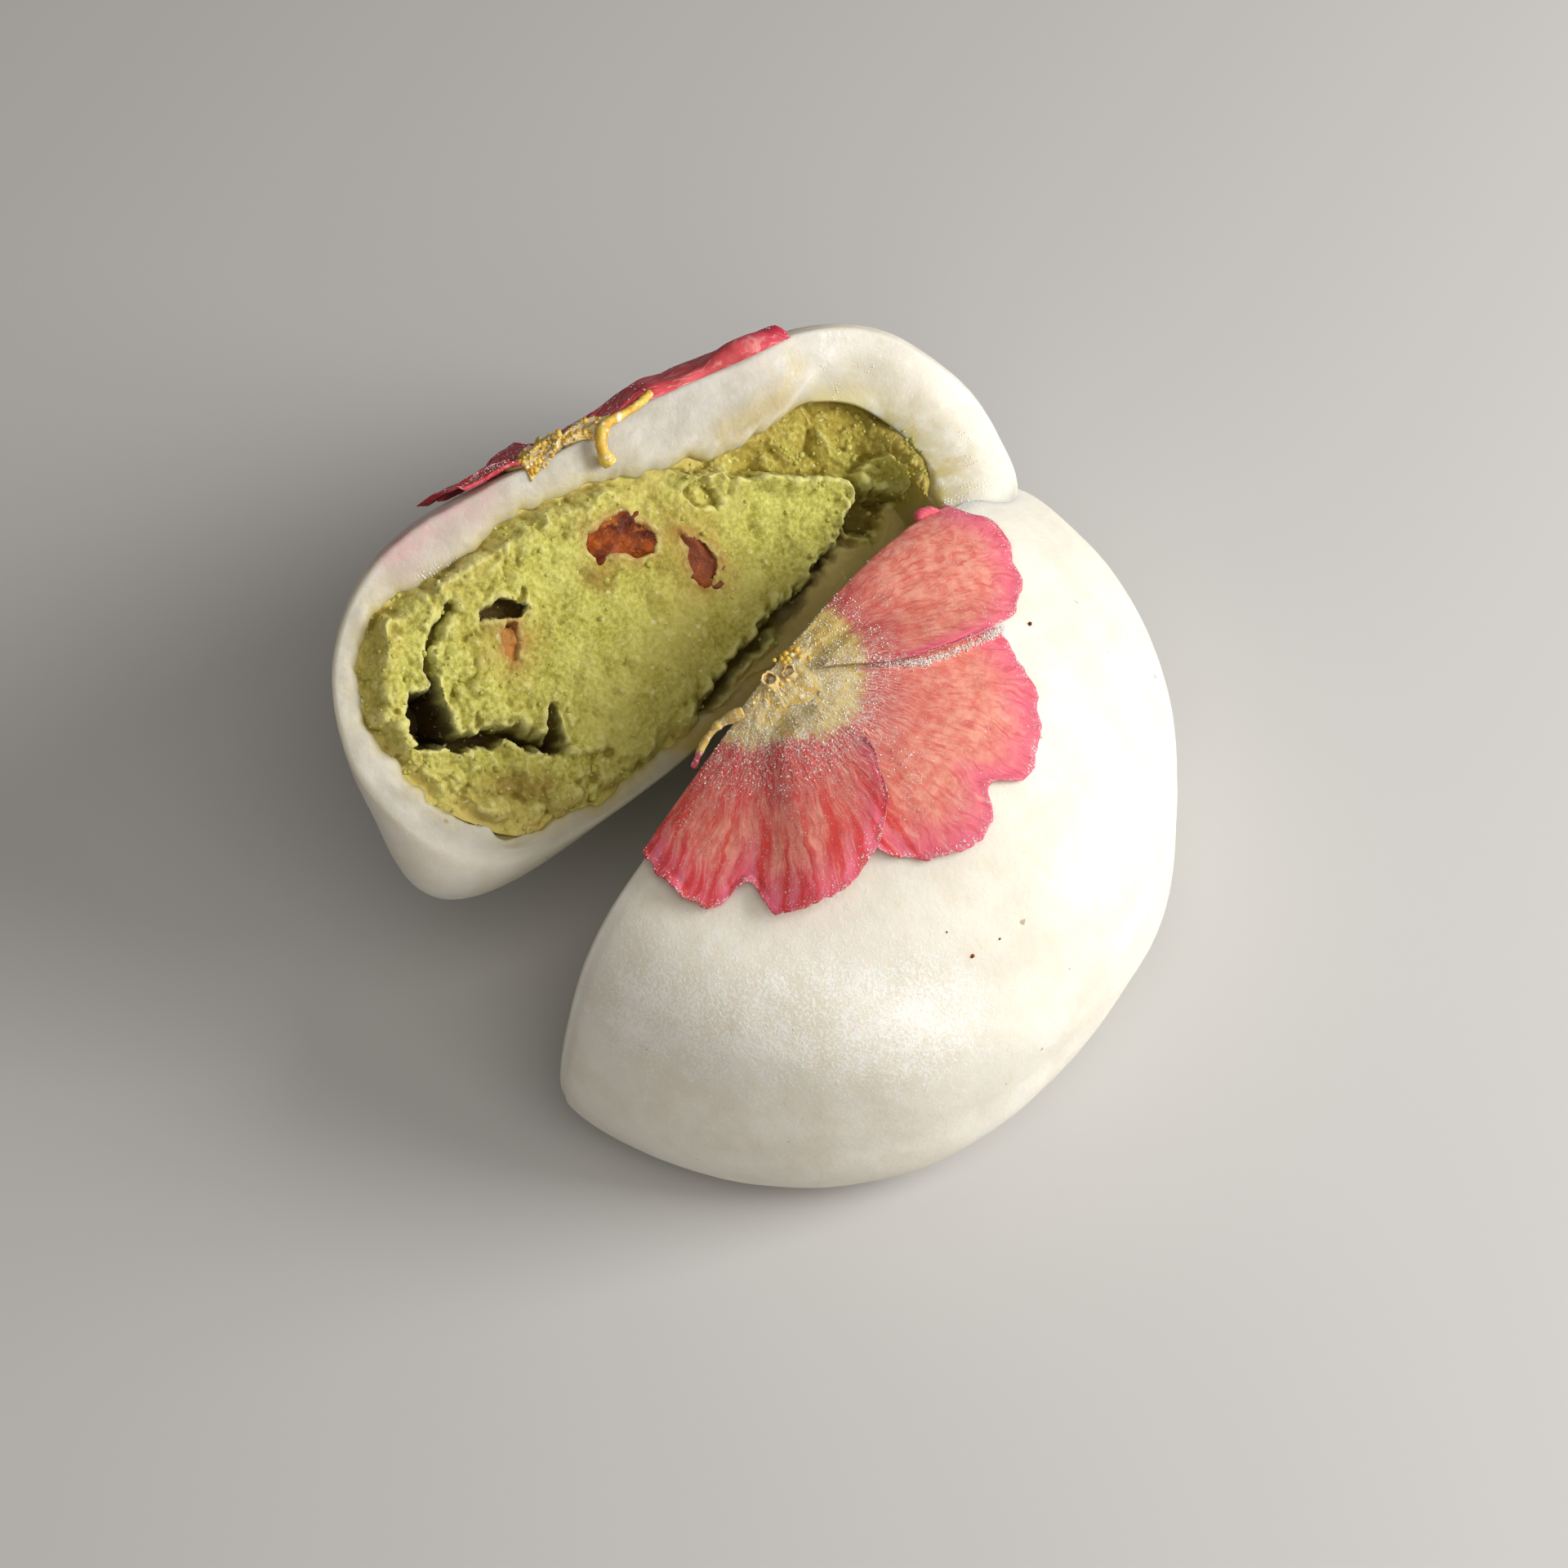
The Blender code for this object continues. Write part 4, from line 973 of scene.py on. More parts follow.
paste_back = paste_body("paste_back", back, back_face, back_end, 50, pull=True)
paste_front = paste_body("paste_front", front, front_face, front_end, 52)

# %% [markdown]
# ## Bits of nut
# A bit of nut was cut through with the rest, so it is a lump with a nearly flat top that lies a
# little below the paste. Its outline is drawn on the face; a dome on it, rounded towards the
# edge, and a plain underside make the body.

# %% Nut bodies
NUT_AROUND, NUT_RINGS = 72, 34


def nut_body(nut, half, seed):
    """Rings from the middle of the top over the edge to the middle of the foot."""
    outline = closed_curve(nut.outline, NUT_AROUND)
    flat = np.column_stack([outline, np.zeros(NUT_AROUND)])
    middle = outline.mean(axis=0)
    away = outline - middle
    reach = np.linalg.norm(away, axis=1, keepdims=True)
    grown = reach + nut.spill + 0.24 * soft_noise(flat, 1.0, seed, 3)[:, None]
    outline = middle + away * grown / reach
    angle = np.linspace(0.03, math.pi - 0.03, NUT_RINGS)[:, None]
    spread = np.sin(angle) ** 0.28
    plan = middle + (outline - middle)[None] * spread[:, :, None]
    half_height = 0.5 * (nut.foot + 0.5 - nut.top)
    height = nut.top + half_height - half_height * np.cos(angle) * np.ones((1, NUT_AROUND))
    rows = np.dstack([plan, height])
    rows[:, :, 2] += 0.34 * soft_noise(rows, 1.5, seed, 3) - 0.26 * grain_noise(rows, 1.3, seed + 1)
    marks = {"tone": np.full(height.shape, nut.tone), "out": spread * np.ones((1, NUT_AROUND))}
    return closed_body(nut.node.replace("bit", "nut"), half.world(rows), marks)


nuts = [(nut_body(nut, back, 100 + step), nut.node) for step, nut in enumerate(BACK_NUTS)]
nuts += [(nut_body(nut, front, 110 + step), nut.node) for step, nut in enumerate(FRONT_NUTS)]

# %% [markdown]
# ## Petals
# A pressed petal is a sheet a third of a millimetre thick that follows the dome. In plan it is
# drawn in polar form round the flower's middle: at each angle the edge lies at
# length * cos(90 (angle - axis) / spread)^fullness, less a notch, with small waves along it. Rows
# run from the gold eye to the edge. The underside is the same table a little lower, and the two
# are joined all round.

# %% Petal shapes
class Petal(NamedTuple):
    """One petal, in degrees and mm.

    The cut or its neighbour ends it at first and last. From under to over it lies on top.
    """

    axis: float
    spread: float
    length: float
    fullness: float
    notch: float
    notch_at: float
    first: float
    last: float
    under: float
    over: float
    curl: float


FRONT_PETALS = {
    "petal_front_right": Petal(10.0, 46.0, 26.2, 0.60, 0.0, 10.0, 0.0, 50.0, 20.0, 80.0, 0.2),
    "petal_front_middle": Petal(68.0, 53.0, 22.4, 0.24, 2.4, 78.5, 29.0, 119.0, 0.0, 0.0, 0.1),
    "petal_front_left": Petal(147.0, 62.0, 19.4, 0.34, 2.6, 149.0, 90.0, 180.0, 70.0, 150.0, 0.2),
}
BACK_PETALS = {
    "petal_back_right": Petal(-4.0, 46.0, 23.2, 0.62, 0.0, 0.0, -5.0, 36.0, 0.0, 0.0, 0.12),
    "petal_back_inner": Petal(64.0, 46.0, 20.0, 0.30, 2.4, 63.0, 26.0, 101.0, 12.0, 44.0, 0.2),
    "petal_back_outer": Petal(124.0, 40.0, 14.5, 0.30, 2.4, 128.0, 90.0, 160.0, 72.0, 108.0, 0.2),
    "petal_back_left": Petal(186.0, 30.0, 10.6, 0.50, 0.0, 180.0, 162.0, 180.0, 150.0, 168.0, 0.0),
}
FLOWER_FRONT, FLOWER_BACK = -3.8, -0.3
EYE_RADIUS, EYE_LOBES, EYE_TURN = 4.4, 0.6, 6.0
PETAL_THICKNESS, PETAL_LIFT, OVERLAP_LIFT = 0.30, 0.10, 0.80
PETAL_ROWS, PETAL_STEP = 90, 0.75
NOTCH_WIDTH, OVERLAP_EASE = 4.5, 22.0
CUT_MARGIN, HANG = 0.15, 0.9
SLOPE_STEP = 0.2


# %% Laying a sheet on the crown
def eye_edge(angle):
    """Radius of the gold eye: a circle with five lobes, one towards each petal."""
    return EYE_RADIUS + EYE_LOBES * np.cos(np.radians(5.0 * (angle - EYE_TURN)))


def crown_slope(half, u, v, du, dv):
    """Rise of the crown for each mm towards (du, dv), read to both sides of a place."""
    ahead, behind = (crown_height(half, u + s * du, v + s * dv) for s in (SLOPE_STEP, -SLOPE_STEP))
    return (ahead - behind) / (2.0 * SLOPE_STEP)


def on_crown(half, u, v, rise):
    """Local point at a height over the skin, along its normal.

    In front of the cut it bends over the edge: the bend is a quarter turn spent over the length
    HANG, and past that the sheet hangs straight down.
    """
    beyond = np.maximum(CUT_MARGIN - v, 0.0)
    v = np.maximum(v, CUT_MARGIN)
    height = crown_height(half, u, v)
    along_u, along_v = crown_slope(half, u, v, 1.0, 0.0), crown_slope(half, u, v, 0.0, 1.0)
    bend = np.clip(beyond / HANG, 0.0, 1.0) * 0.5 * math.pi
    normal = np.stack([-along_u, np.cos(bend), -along_v - np.sin(bend)], axis=-1)
    normal /= np.linalg.norm(normal, axis=-1, keepdims=True)
    place = np.stack([u, height - np.maximum(beyond - HANG, 0.0) - 0.2 * np.sin(bend), v], axis=-1)
    return place + normal * rise[..., None]


# %% Petal sheets
def petal_sheet(name, petal, centre, half, crumple, seed):
    """Grid of radius and angle laid on the crown. Crumple is how far its folds stand up."""
    columns = int((petal.last - petal.first) / PETAL_STEP) + 1
    angle = np.linspace(petal.first, petal.last, columns)
    swing = np.clip((angle - petal.axis) / petal.spread, -0.995, 0.995)
    ripple = np.stack([angle / 6.0, np.full(columns, seed), np.zeros(columns)], axis=-1)
    edge = petal.length * np.cos(0.5 * math.pi * swing) ** petal.fullness
    edge = edge - petal.notch * bell(angle - petal.notch_at, NOTCH_WIDTH)
    edge = edge + 0.36 * soft_noise(ripple, 0.8, seed, 4)
    start = eye_edge(angle) - 0.5
    share = np.linspace(0.0, 1.0, PETAL_ROWS)[:, None]
    radius = start + (edge - start) * share
    angles = np.broadcast_to(angle, radius.shape)
    turn = np.radians(angle)
    u, v = centre + radius * np.cos(turn), np.maximum(radius * np.sin(turn), -0.9)

    over = ease((angle - petal.under) / OVERLAP_EASE) * ease((petal.over - angle) / OVERLAP_EASE)
    over_lift = (OVERLAP_LIFT - PETAL_LIFT) * over * ease(share / 0.2)
    flat = np.stack([u, v, np.zeros_like(u)], axis=-1)
    polar = np.stack([radius * 0.35, angles * 0.16, np.zeros_like(radius)], axis=-1)
    veins = 0.035 * soft_noise(polar, 0.5, seed + 3, 2)
    wave = petal.curl * share ** 2 * (1.0 + np.sin(np.radians(9.0 * angle)))
    buckle = 0.10 * (1.0 + soft_noise(flat, 3.5, seed + 4, 2)) * share
    lifted_edge = 0.22 * ease((share - 0.93) / 0.07) * (1.0 + soft_noise(flat, 2.0, seed + 5))
    folds = crumple * ease(share / 0.3) * (0.6 + 0.7 * soft_noise(flat, 4.5, seed + 8, 2))
    rise = PETAL_LIFT + over_lift + wave + veins + buckle + lifted_edge + np.maximum(folds, 0.0)
    thickness = PETAL_THICKNESS * (1.0 - 0.6 * ease((share - 0.9) / 0.1)) * np.ones_like(u)
    upper = half.world(on_crown(half, u, v, rise + thickness))
    lower = half.world(on_crown(half, u, v, rise))
    dusty = np.full(radius.shape, 1.0 if half is front else 0.15)
    marks = {"radius": radius, "angle": angles, "rim": edge - radius, "dusty": dusty}
    return closed_sheet(name.replace("petal", "primrose_petal"), upper, lower, marks)


petals = []
for half, centre, row, crumple, seed in (
    (front, FLOWER_FRONT, FRONT_PETALS, 0.0, 120), (back, FLOWER_BACK, BACK_PETALS, 0.6, 140)
):
    for step, (node, petal) in enumerate(row.items()):
        petals.append((petal_sheet(node, petal, centre, half, crumple, seed + 7 * step), node))

# %% [markdown]
# ## The gold eye and the strands
# The middle of the flower is a crumbly pad of dried pollen and petal bases. It is the same kind
# of sheet as a petal, thicker and rougher. The strands are threads torn from the eye: a circle
# carried along a path, thinner towards its tip.

# %% Eye pads
PAD_ROWS, PAD_COLUMNS = 50, 150


def eye_pad(name, centre, half, hang, rough, seed):
    """Rows run from the middle of the eye to its edge, which passes the cut by hang degrees."""
    angle = np.linspace(-hang, 180.0 + hang, PAD_COLUMNS)
    radius = np.linspace(0.04, 1.0, PAD_ROWS)[:, None] * (eye_edge(angle) + 0.25)
    turn = np.radians(angle)
    u, v = centre + radius * np.cos(turn), radius * np.sin(turn)
    flat = np.stack([u, v, np.zeros_like(u)], axis=-1)
    turns = np.broadcast_to(4.0 * turn, radius.shape)
    fibres = np.stack([0.5 * radius, turns, np.zeros_like(radius)], axis=-1)
    tuft = 0.30 * soft_noise(fibres, 0.9, seed, 3)
    tuft = tuft + 0.30 * grain_noise(flat, 1.2, seed + 1) + 0.12 * grain_noise(flat, 0.5, seed + 3)
    fall = 1.0 - ease((np.linspace(0.0, 1.0, PAD_ROWS)[:, None] - 0.6) / 0.4)
    rise = 0.33 + 0.12 * fall + rough * tuft * (0.4 + 0.6 * fall)
    top = on_crown(half, u, v, np.maximum(rise, 0.25))
    foot = on_crown(half, u, v, np.full_like(u, 0.05))
    # The tuft mark carries the pad's height into its colour, for painted shade and light.
    marks = {"out": radius / EYE_RADIUS, "tuft": tuft, "pink": np.zeros_like(u)}
    return closed_sheet(name, half.world(top), half.world(foot), marks)


eyes = [
    (eye_pad("pollen_front", FLOWER_FRONT, front, 4.0, 0.35, 160), "eye_front"),
    (eye_pad("pollen_back", FLOWER_BACK, back, 24.0, 1.3, 165), "eye_back"),
]

# %% Strands
RING_POINTS, STRAND_POINTS = 16, 70


def smooth_path(route, count, width):
    """Points along a route, each one the mean of its neighbours within a window."""
    knots = np.asarray(route, float)
    at = np.linspace(0.0, len(knots) - 1.0, count)
    path = np.stack([np.interp(at, np.arange(len(knots)), knots[:, k]) for k in range(3)], axis=1)
    padded = np.pad(path, ((width, width), (0, 0)), mode="edge")
    kernel = np.ones(2 * width + 1) / (2 * width + 1)
    return np.stack([np.convolve(padded[:, k], kernel, mode="valid") for k in range(3)], axis=1)


def carried_ring(path, radius):
    """Circle carried along a path: centre + r (cos a side + sin a other)."""
    tangent = np.gradient(path, axis=0)
    tangent /= np.linalg.norm(tangent, axis=1, keepdims=True)
    side = np.cross(tangent, np.array([0.3, 0.5, 0.81]))
    side /= np.linalg.norm(side, axis=1, keepdims=True)
    other = np.cross(tangent, side)
    turn = np.linspace(0.0, 2.0 * math.pi, RING_POINTS, endpoint=False)[None, :, None]
    arm = np.cos(turn) * side[:, None] + np.sin(turn) * other[:, None]
    return path[:, None] + radius[..., None] * arm


def path_noise(path, size, seed):
    """Soft noise along a path, the same all round its ring."""
    return soft_noise(path[:, None] * np.ones((1, RING_POINTS, 1)), size, seed, 2)


def strand(name, half, route, thickness, seed, pink=0.0):
    """A thread that thins towards its tip. Pink is how much of its tip is pink."""
    path = smooth_path(route, STRAND_POINTS, 5)
    along = np.linspace(0.0, 1.0, STRAND_POINTS)[:, None]
    uneven = path_noise(path, 0.8, seed)
    radius = thickness * (1.0 - 0.45 * along) * (1.0 + 0.3 * uneven)
    tip = ease((along - 1.0 + pink) / 0.08) * np.ones((1, RING_POINTS))
    marks = {"tuft": 0.1 + 0.25 * uneven, "pink": tip}
    return closed_body(name, half.world(carried_ring(path, radius)), marks)


FRONT_STRAND = [
    (-7.6, 33.2, 0.5), (-8.6, 32.7, -0.3), (-9.6, 32.2, -0.9), (-10.8, 31.5, -1.1),
    (-12.0, 30.6, -1.0), (-12.8, 29.8, -0.9),
]
BACK_STRAND = [
    (2.0, 24.0, -1.0), (1.9, 25.2, -1.1), (2.4, 26.4, -1.2), (3.4, 27.2, -1.2),
    (5.4, 26.9, -1.0), (7.2, 26.7, -0.9), (9.2, 26.9, -0.6),
]
strands = [
    (strand("thread_front", front, FRONT_STRAND, 0.50, 170, 0.3), "stamen_front"),
    (strand("thread_back", back, BACK_STRAND, 0.62, 172), "stamen_back"),
]

# %% [markdown]
# ## Throat
# In the middle of the flower two little tubes were cut across. Each is a wall of revolution: up
# the outside, over a ragged rim and down the inside to a floor.

# %% Throat tubes
TUBE_PROFILE = np.array([
    (0.95, -0.8), (1.0, 0.2), (1.02, 0.75), (0.95, 0.95), (0.82, 1.0), (0.70, 0.9), (0.64, 0.4),
    (0.60, -0.2), (0.3, -0.45),
])
TUBE_ROWS, TUBE_AROUND, TUBE_RIM = 34, 48, 4.6


def tube(name, half, place, lean, size, seed):
    """Profile (radius, height) turned about an axis that leans by (du, dv) in each mm of height."""
    knots = np.arange(len(TUBE_PROFILE))
    at = np.linspace(0.0, len(TUBE_PROFILE) - 1.0, TUBE_ROWS)
    radius, height = (np.interp(at, knots, TUBE_PROFILE[:, k])[:, None] for k in (0, 1))
    turn = np.linspace(0.0, 2.0 * math.pi, TUBE_AROUND, endpoint=False)[None, :]
    flat = np.ones((TUBE_ROWS, TUBE_AROUND))
    ring = [0.9 * np.cos(turn) * flat, 0.9 * np.sin(turn) * flat, height * flat]
    ragged = soft_noise(np.stack(ring, axis=-1), 0.9, seed, 3)
    height = height * (1.0 + 0.20 * ragged) * size
    radius = radius * size * (1.0 + 0.16 * ragged)
    u = place[0] + radius * np.cos(turn) + lean[0] * height
    v = place[2] + radius * np.sin(turn) + lean[1] * height
    rows = np.stack([u, place[1] + height, v], axis=-1)
    # Painted shade: the inside of the tube is marked low, so that it turns rust-dark.
    inside = ease((at - TUBE_RIM) / 0.8)[:, None] * np.ones_like(turn)
    marks = {"tuft": 0.25 - 0.75 * inside, "pink": np.zeros_like(inside)}
    return closed_body(name, half.world(rows), marks)


tubes = [
    tube("throat_left", front, (-4.0, 33.2, 0.9), (-0.3, -0.6), 0.78, 174),
    tube("throat_right", front, (-2.8, 33.4, 1.6), (0.1, -0.5), 0.64, 176),
]

# %% The curled tip of a petal
CURL = [
    (17.9, 30.6, 0.2), (18.5, 30.7, -0.5), (19.4, 30.3, -0.5), (20.3, 29.7, -0.1),
    (20.9, 29.2, 0.6),
]
CURL_POINTS, CURL_RADIUS = 40, 0.52
path = smooth_path(CURL, CURL_POINTS, 3)
along = np.linspace(0.0, 1.0, CURL_POINTS)[:, None]
blunt = CURL_RADIUS * np.sqrt(np.sin(math.pi * (0.04 + 0.92 * along)))
radius = blunt * (1.0 + 0.25 * path_noise(path, 0.9, 178))
curl_marks = {
    label: np.full(radius.shape, value)
    for label, value in (("radius", 11.0), ("angle", 5.0), ("rim", 0.4), ("dusty", 0.8))
}
petal_curl = closed_body("petal_curl", front.world(carried_ring(path, radius)), curl_marks)

# %% [markdown]
# ## Crumbs and grains of flour
# Loose bits are copies of one small faceted ball, each turned, sized and placed by seeded random
# numbers. All copies of a kind are one piece. They sit on the surface that carries them: crumbs
# on points of the paste, flour on points of the petals and the dough.

# %% Scattering
def small_ball():
    """Twelve corners and twenty faces: the regular icosahedron."""
    g = 0.5 * (1.0 + math.sqrt(5.0))
    corners = np.array([
        (-1, g, 0), (1, g, 0), (-1, -g, 0), (1, -g, 0), (0, -1, g), (0, 1, g),
        (0, -1, -g), (0, 1, -g), (g, 0, -1), (g, 0, 1), (-g, 0, -1), (-g, 0, 1),
    ], float)
    faces = np.array([
        (0, 11, 5), (0, 5, 1), (0, 1, 7), (0, 7, 10), (0, 10, 11), (1, 5, 9), (5, 11, 4),
        (11, 10, 2), (10, 7, 6), (7, 1, 8), (3, 9, 4), (3, 4, 2), (3, 2, 6), (3, 6, 8), (3, 8, 9),
        (4, 9, 5), (2, 4, 11), (6, 2, 10), (8, 6, 7), (9, 8, 1),
    ])
    return corners / np.linalg.norm(corners[0]), faces


def scattered(name, places, sizes, seed):
    """A dented ball at each place. Every corner is pushed in or out by its own draw."""
    draw = np.random.default_rng(seed)
    corners, faces = small_ball()
    count = len(places)
    turns = np.linalg.qr(draw.normal(size=(count, 3, 3)))[0]
    dents = draw.uniform(0.65, 1.15, (count, len(corners), 1))
    balls = np.einsum("cij,kj->cki", turns, corners) * dents * sizes[:, None, None]
    points = (places[:, None] + balls).reshape(-1, 3)
    all_faces = (faces[None] + len(corners) * np.arange(count)[:, None, None]).reshape(-1, 3)
    flip = np.repeat(np.linalg.det(turns) < 0.0, len(faces))
    all_faces[flip] = all_faces[flip][:, ::-1]
    piece = add_piece(name, points, [all_faces])
    print(name, "has", count, "pieces")
    return piece


def mesh_points(piece):
    """Points of a piece in mm, one row each."""
    values = np.empty(3 * len(piece.data.vertices))
    piece.data.vertices.foreach_get("co", values)
    return values.reshape(-1, 3) / MM


def mark_values(piece, label):
    """One of a piece's marks, a number for each point."""
    values = np.empty(len(piece.data.vertices))
    piece.data.attributes[label].data.foreach_get("value", values)
    return values


def pick(weights, count, draw):
    """Indices drawn with the given weights."""
    return draw.choice(len(weights), count, p=weights / weights.sum())

# %% Crumbs of paste
FACE_POINTS = FACE_COLUMNS * FACE_ROWS
BACK_CRUMBS, FRONT_CRUMBS, CRUMBS_AT_NUT = 420, 300, 13
LAID_CRUMBS = np.array([
    (-14.7, 6.1, 0.1), (-13.9, 5.7, 0.0), (-14.5, 4.2, 0.4), (-15.6, 4.1, 0.7), (-16.6, 3.9, 0.8),
    (-17.9, 3.6, 0.9), (-17.4, 3.0, 0.8), (-16.0, 2.4, 0.5), (-16.2, 6.4, 0.7), (-17.0, 6.9, 0.9),
    (-15.1, 5.2, 0.3), (-16.9, 5.2, 0.8), (-13.4, 3.2, 0.3), (-4.2, 16.4, -0.4), (3.3, 17.4, -0.4),
    (4.3, 12.7, -0.1), (22.9, 12.2, 1.6), (18.2, 14.4, 0.6), (-0.2, 15.4, -0.5), (5.7, 14.9, -0.4),
])
LAID_SIZES = np.array([
    0.8, 0.6, 0.75, 0.6, 0.5, 0.45, 0.6, 0.5, 0.55, 0.5,
    0.7, 0.55, 0.5, 0.45, 0.42, 0.42, 0.4, 0.35, 0.4, 0.4,
])

draw = np.random.default_rng(200)
spots = mesh_points(paste_back)[:FACE_POINTS]
loose, edge, bare, dark = (
    mark_values(paste_back, label)[:FACE_POINTS] for label in ("loose", "edge", "bare", "dark")
)
chosen = pick((0.25 + loose + 0.4 * edge ** 2) * (1.0 - bare) * (1.0 - dark), BACK_CRUMBS, draw)
sizes = draw.uniform(0.10, 0.30, BACK_CRUMBS) * draw.uniform(0.6, 1.3, BACK_CRUMBS)
nut_edges = np.concatenate([
    closed_curve(nut.outline, 26)[draw.integers(0, 26, CRUMBS_AT_NUT)] for nut in BACK_NUTS
])
nut_edges = np.column_stack([
    nut_edges + draw.normal(0.0, 0.28, nut_edges.shape), draw.uniform(-0.5, 0.0, len(nut_edges)),
])
crumbs_back = scattered(
    "crumbs_back",
    np.concatenate([spots[chosen], back.world(LAID_CRUMBS), back.world(nut_edges)]),
    np.concatenate([sizes, LAID_SIZES, draw.uniform(0.14, 0.34, len(nut_edges))]), 201,
)
spots = mesh_points(paste_front)[:FACE_POINTS]
chosen = pick(0.3 + mark_values(paste_front, "edge")[:FACE_POINTS], FRONT_CRUMBS, draw)
crumbs_front = scattered("crumbs_front", spots[chosen], draw.uniform(0.10, 0.32, len(chosen)), 202)

# %% Grains of flour and pollen
def along_route(route, count, spread, draw):
    """Random places along a route on a half's crown, scattered sideways by a normal draw."""
    path = smooth_path(route, 200, 6)
    places = path[draw.integers(0, 200, count)]
    return places + draw.normal(size=(count, 3)) * (spread, 0.12, spread)


def on_top(piece, label, low, high, count, draw):
    """Places on a sheet's upper side where one of its marks lies between two values."""
    points, values = mesh_points(piece), mark_values(piece, label)
    half_count = len(points) // 2
    inside = (values[:half_count] > low) & (values[:half_count] < high)
    return points[:half_count][draw.choice(np.flatnonzero(inside), count)]


PETAL_LINE = [
    (1.7, 34.2, 6.1), (4.3, 33.8, 9.4), (7.3, 33.2, 10.9), (10.8, 32.3, 11.9), (12.6, 31.6, 12.1),
]
CUT_LINE = [(1.0, 34.0, 0.3), (4.0, 33.9, 0.25), (8.0, 33.7, 0.25), (11.0, 33.2, 0.25)]
LEFT_LINE = [(-2.2, 33.0, 9.0), (-2.4, 32.6, 12.0), (-4.0, 32.0, 15.0)]
GOLD_LINE = [(-2.2, 33.7, 0.3), (-1.4, 33.8, 0.5), (-0.6, 33.9, 1.2), (-0.5, 33.9, 2.2)]
GOLD_SPOTS = [
    (-6.0, 33.3, 0.5), (-6.5, 33.2, 0.6), (-4.9, 33.5, 1.0), (-3.9, 33.6, 1.5), (-3.4, 33.7, 1.7),
]
SPECKS = [
    (-10.5, 23.2, 25.6), (15.5, 29.8, 13.1), (-7.9, 23.3, 26.5), (-10.8, 25.0, 23.2),
    (19.0, 26.0, 14.5),
]
SPECK_SIZES = np.array([0.24, 0.20, 0.14, 0.12, 0.12])
LINE_DUST, WALL_DUST_AND_GLINTS, CUT_DUST, LEFT_DUST = 2600, 360, 320, 110
FRONT_PETAL_DUST, BACK_PETAL_DUST, RIM_DUST = 700, 120, 70

# Painted highlights: white flour grains at the glint spots on the cut wall also stand in for wet
# glints; the ones along the crease are flour.
dry = back_marks["near_paste"] < 0.99
glint = back_marks["cut"] * dry * near_spots(back_rows, GLINTS, 0.55)
glint = np.maximum(glint, 0.35 * back_marks["drift"] * (back_marks["cut"] > 0.0) * dry)
wall_pick = pick(glint.ravel(), WALL_DUST_AND_GLINTS, draw)
dust_places = [
    front.world(along_route(PETAL_LINE, LINE_DUST, 0.22, draw)),
    back_world.reshape(-1, 3)[wall_pick],
    front.world(along_route(CUT_LINE, CUT_DUST, 0.16, draw)),
    front.world(along_route(LEFT_LINE, LEFT_DUST, 0.8, draw)),
]
for piece, node in petals:
    count = FRONT_PETAL_DUST if "front" in node else BACK_PETAL_DUST
    dust_places.append(on_top(piece, "radius", 3.5, 10.0, count, draw))
    dust_places.append(on_top(piece, "rim", 0.0, 0.8, RIM_DUST, draw))
for (piece, node), count in zip(eyes, (380, 420)):
    dust_places.append(on_top(piece, "out", 0.0, 1.2, count, draw))
dust_places = np.concatenate(dust_places)
dust_sizes = 0.032 + 0.062 * draw.uniform(0.0, 1.0, len(dust_places)) ** 2.5
dust_sizes[LINE_DUST: LINE_DUST + WALL_DUST_AND_GLINTS] *= 1.25
flour_grains = scattered("flour_grains", dust_places, dust_sizes, 203)
gold_places = np.concatenate([
    on_top(eyes[1][0], "out", 0.0, 1.0, 240, draw),
    front.world(along_route(GOLD_LINE, 46, 0.22, draw)),
    front.world(np.array(GOLD_SPOTS)),
])
gold_sizes = draw.uniform(0.14, 0.32, len(gold_places))
gold_grains = scattered("gold_grains", gold_places, gold_sizes, 204)
specks = scattered("specks", front.world(np.array(SPECKS)), SPECK_SIZES, 205)

# %% [markdown]
# ## Materials
# Two effects are shared, so each is a node group: flour, which lies as fine white specks that
# crowd together in patches, and mottle, which mixes two colours by soft noise. Everything reads
# Object coordinates in metres, so a noise scale of 1000 repeats about once in a millimetre.

# %% Node helpers
def new_material(name):
    """A material and its Principled shader."""
    material = bpy.data.materials.new(name)
    material.use_nodes = True
    print("material", name)
    return material, material.node_tree.nodes["Principled BSDF"]


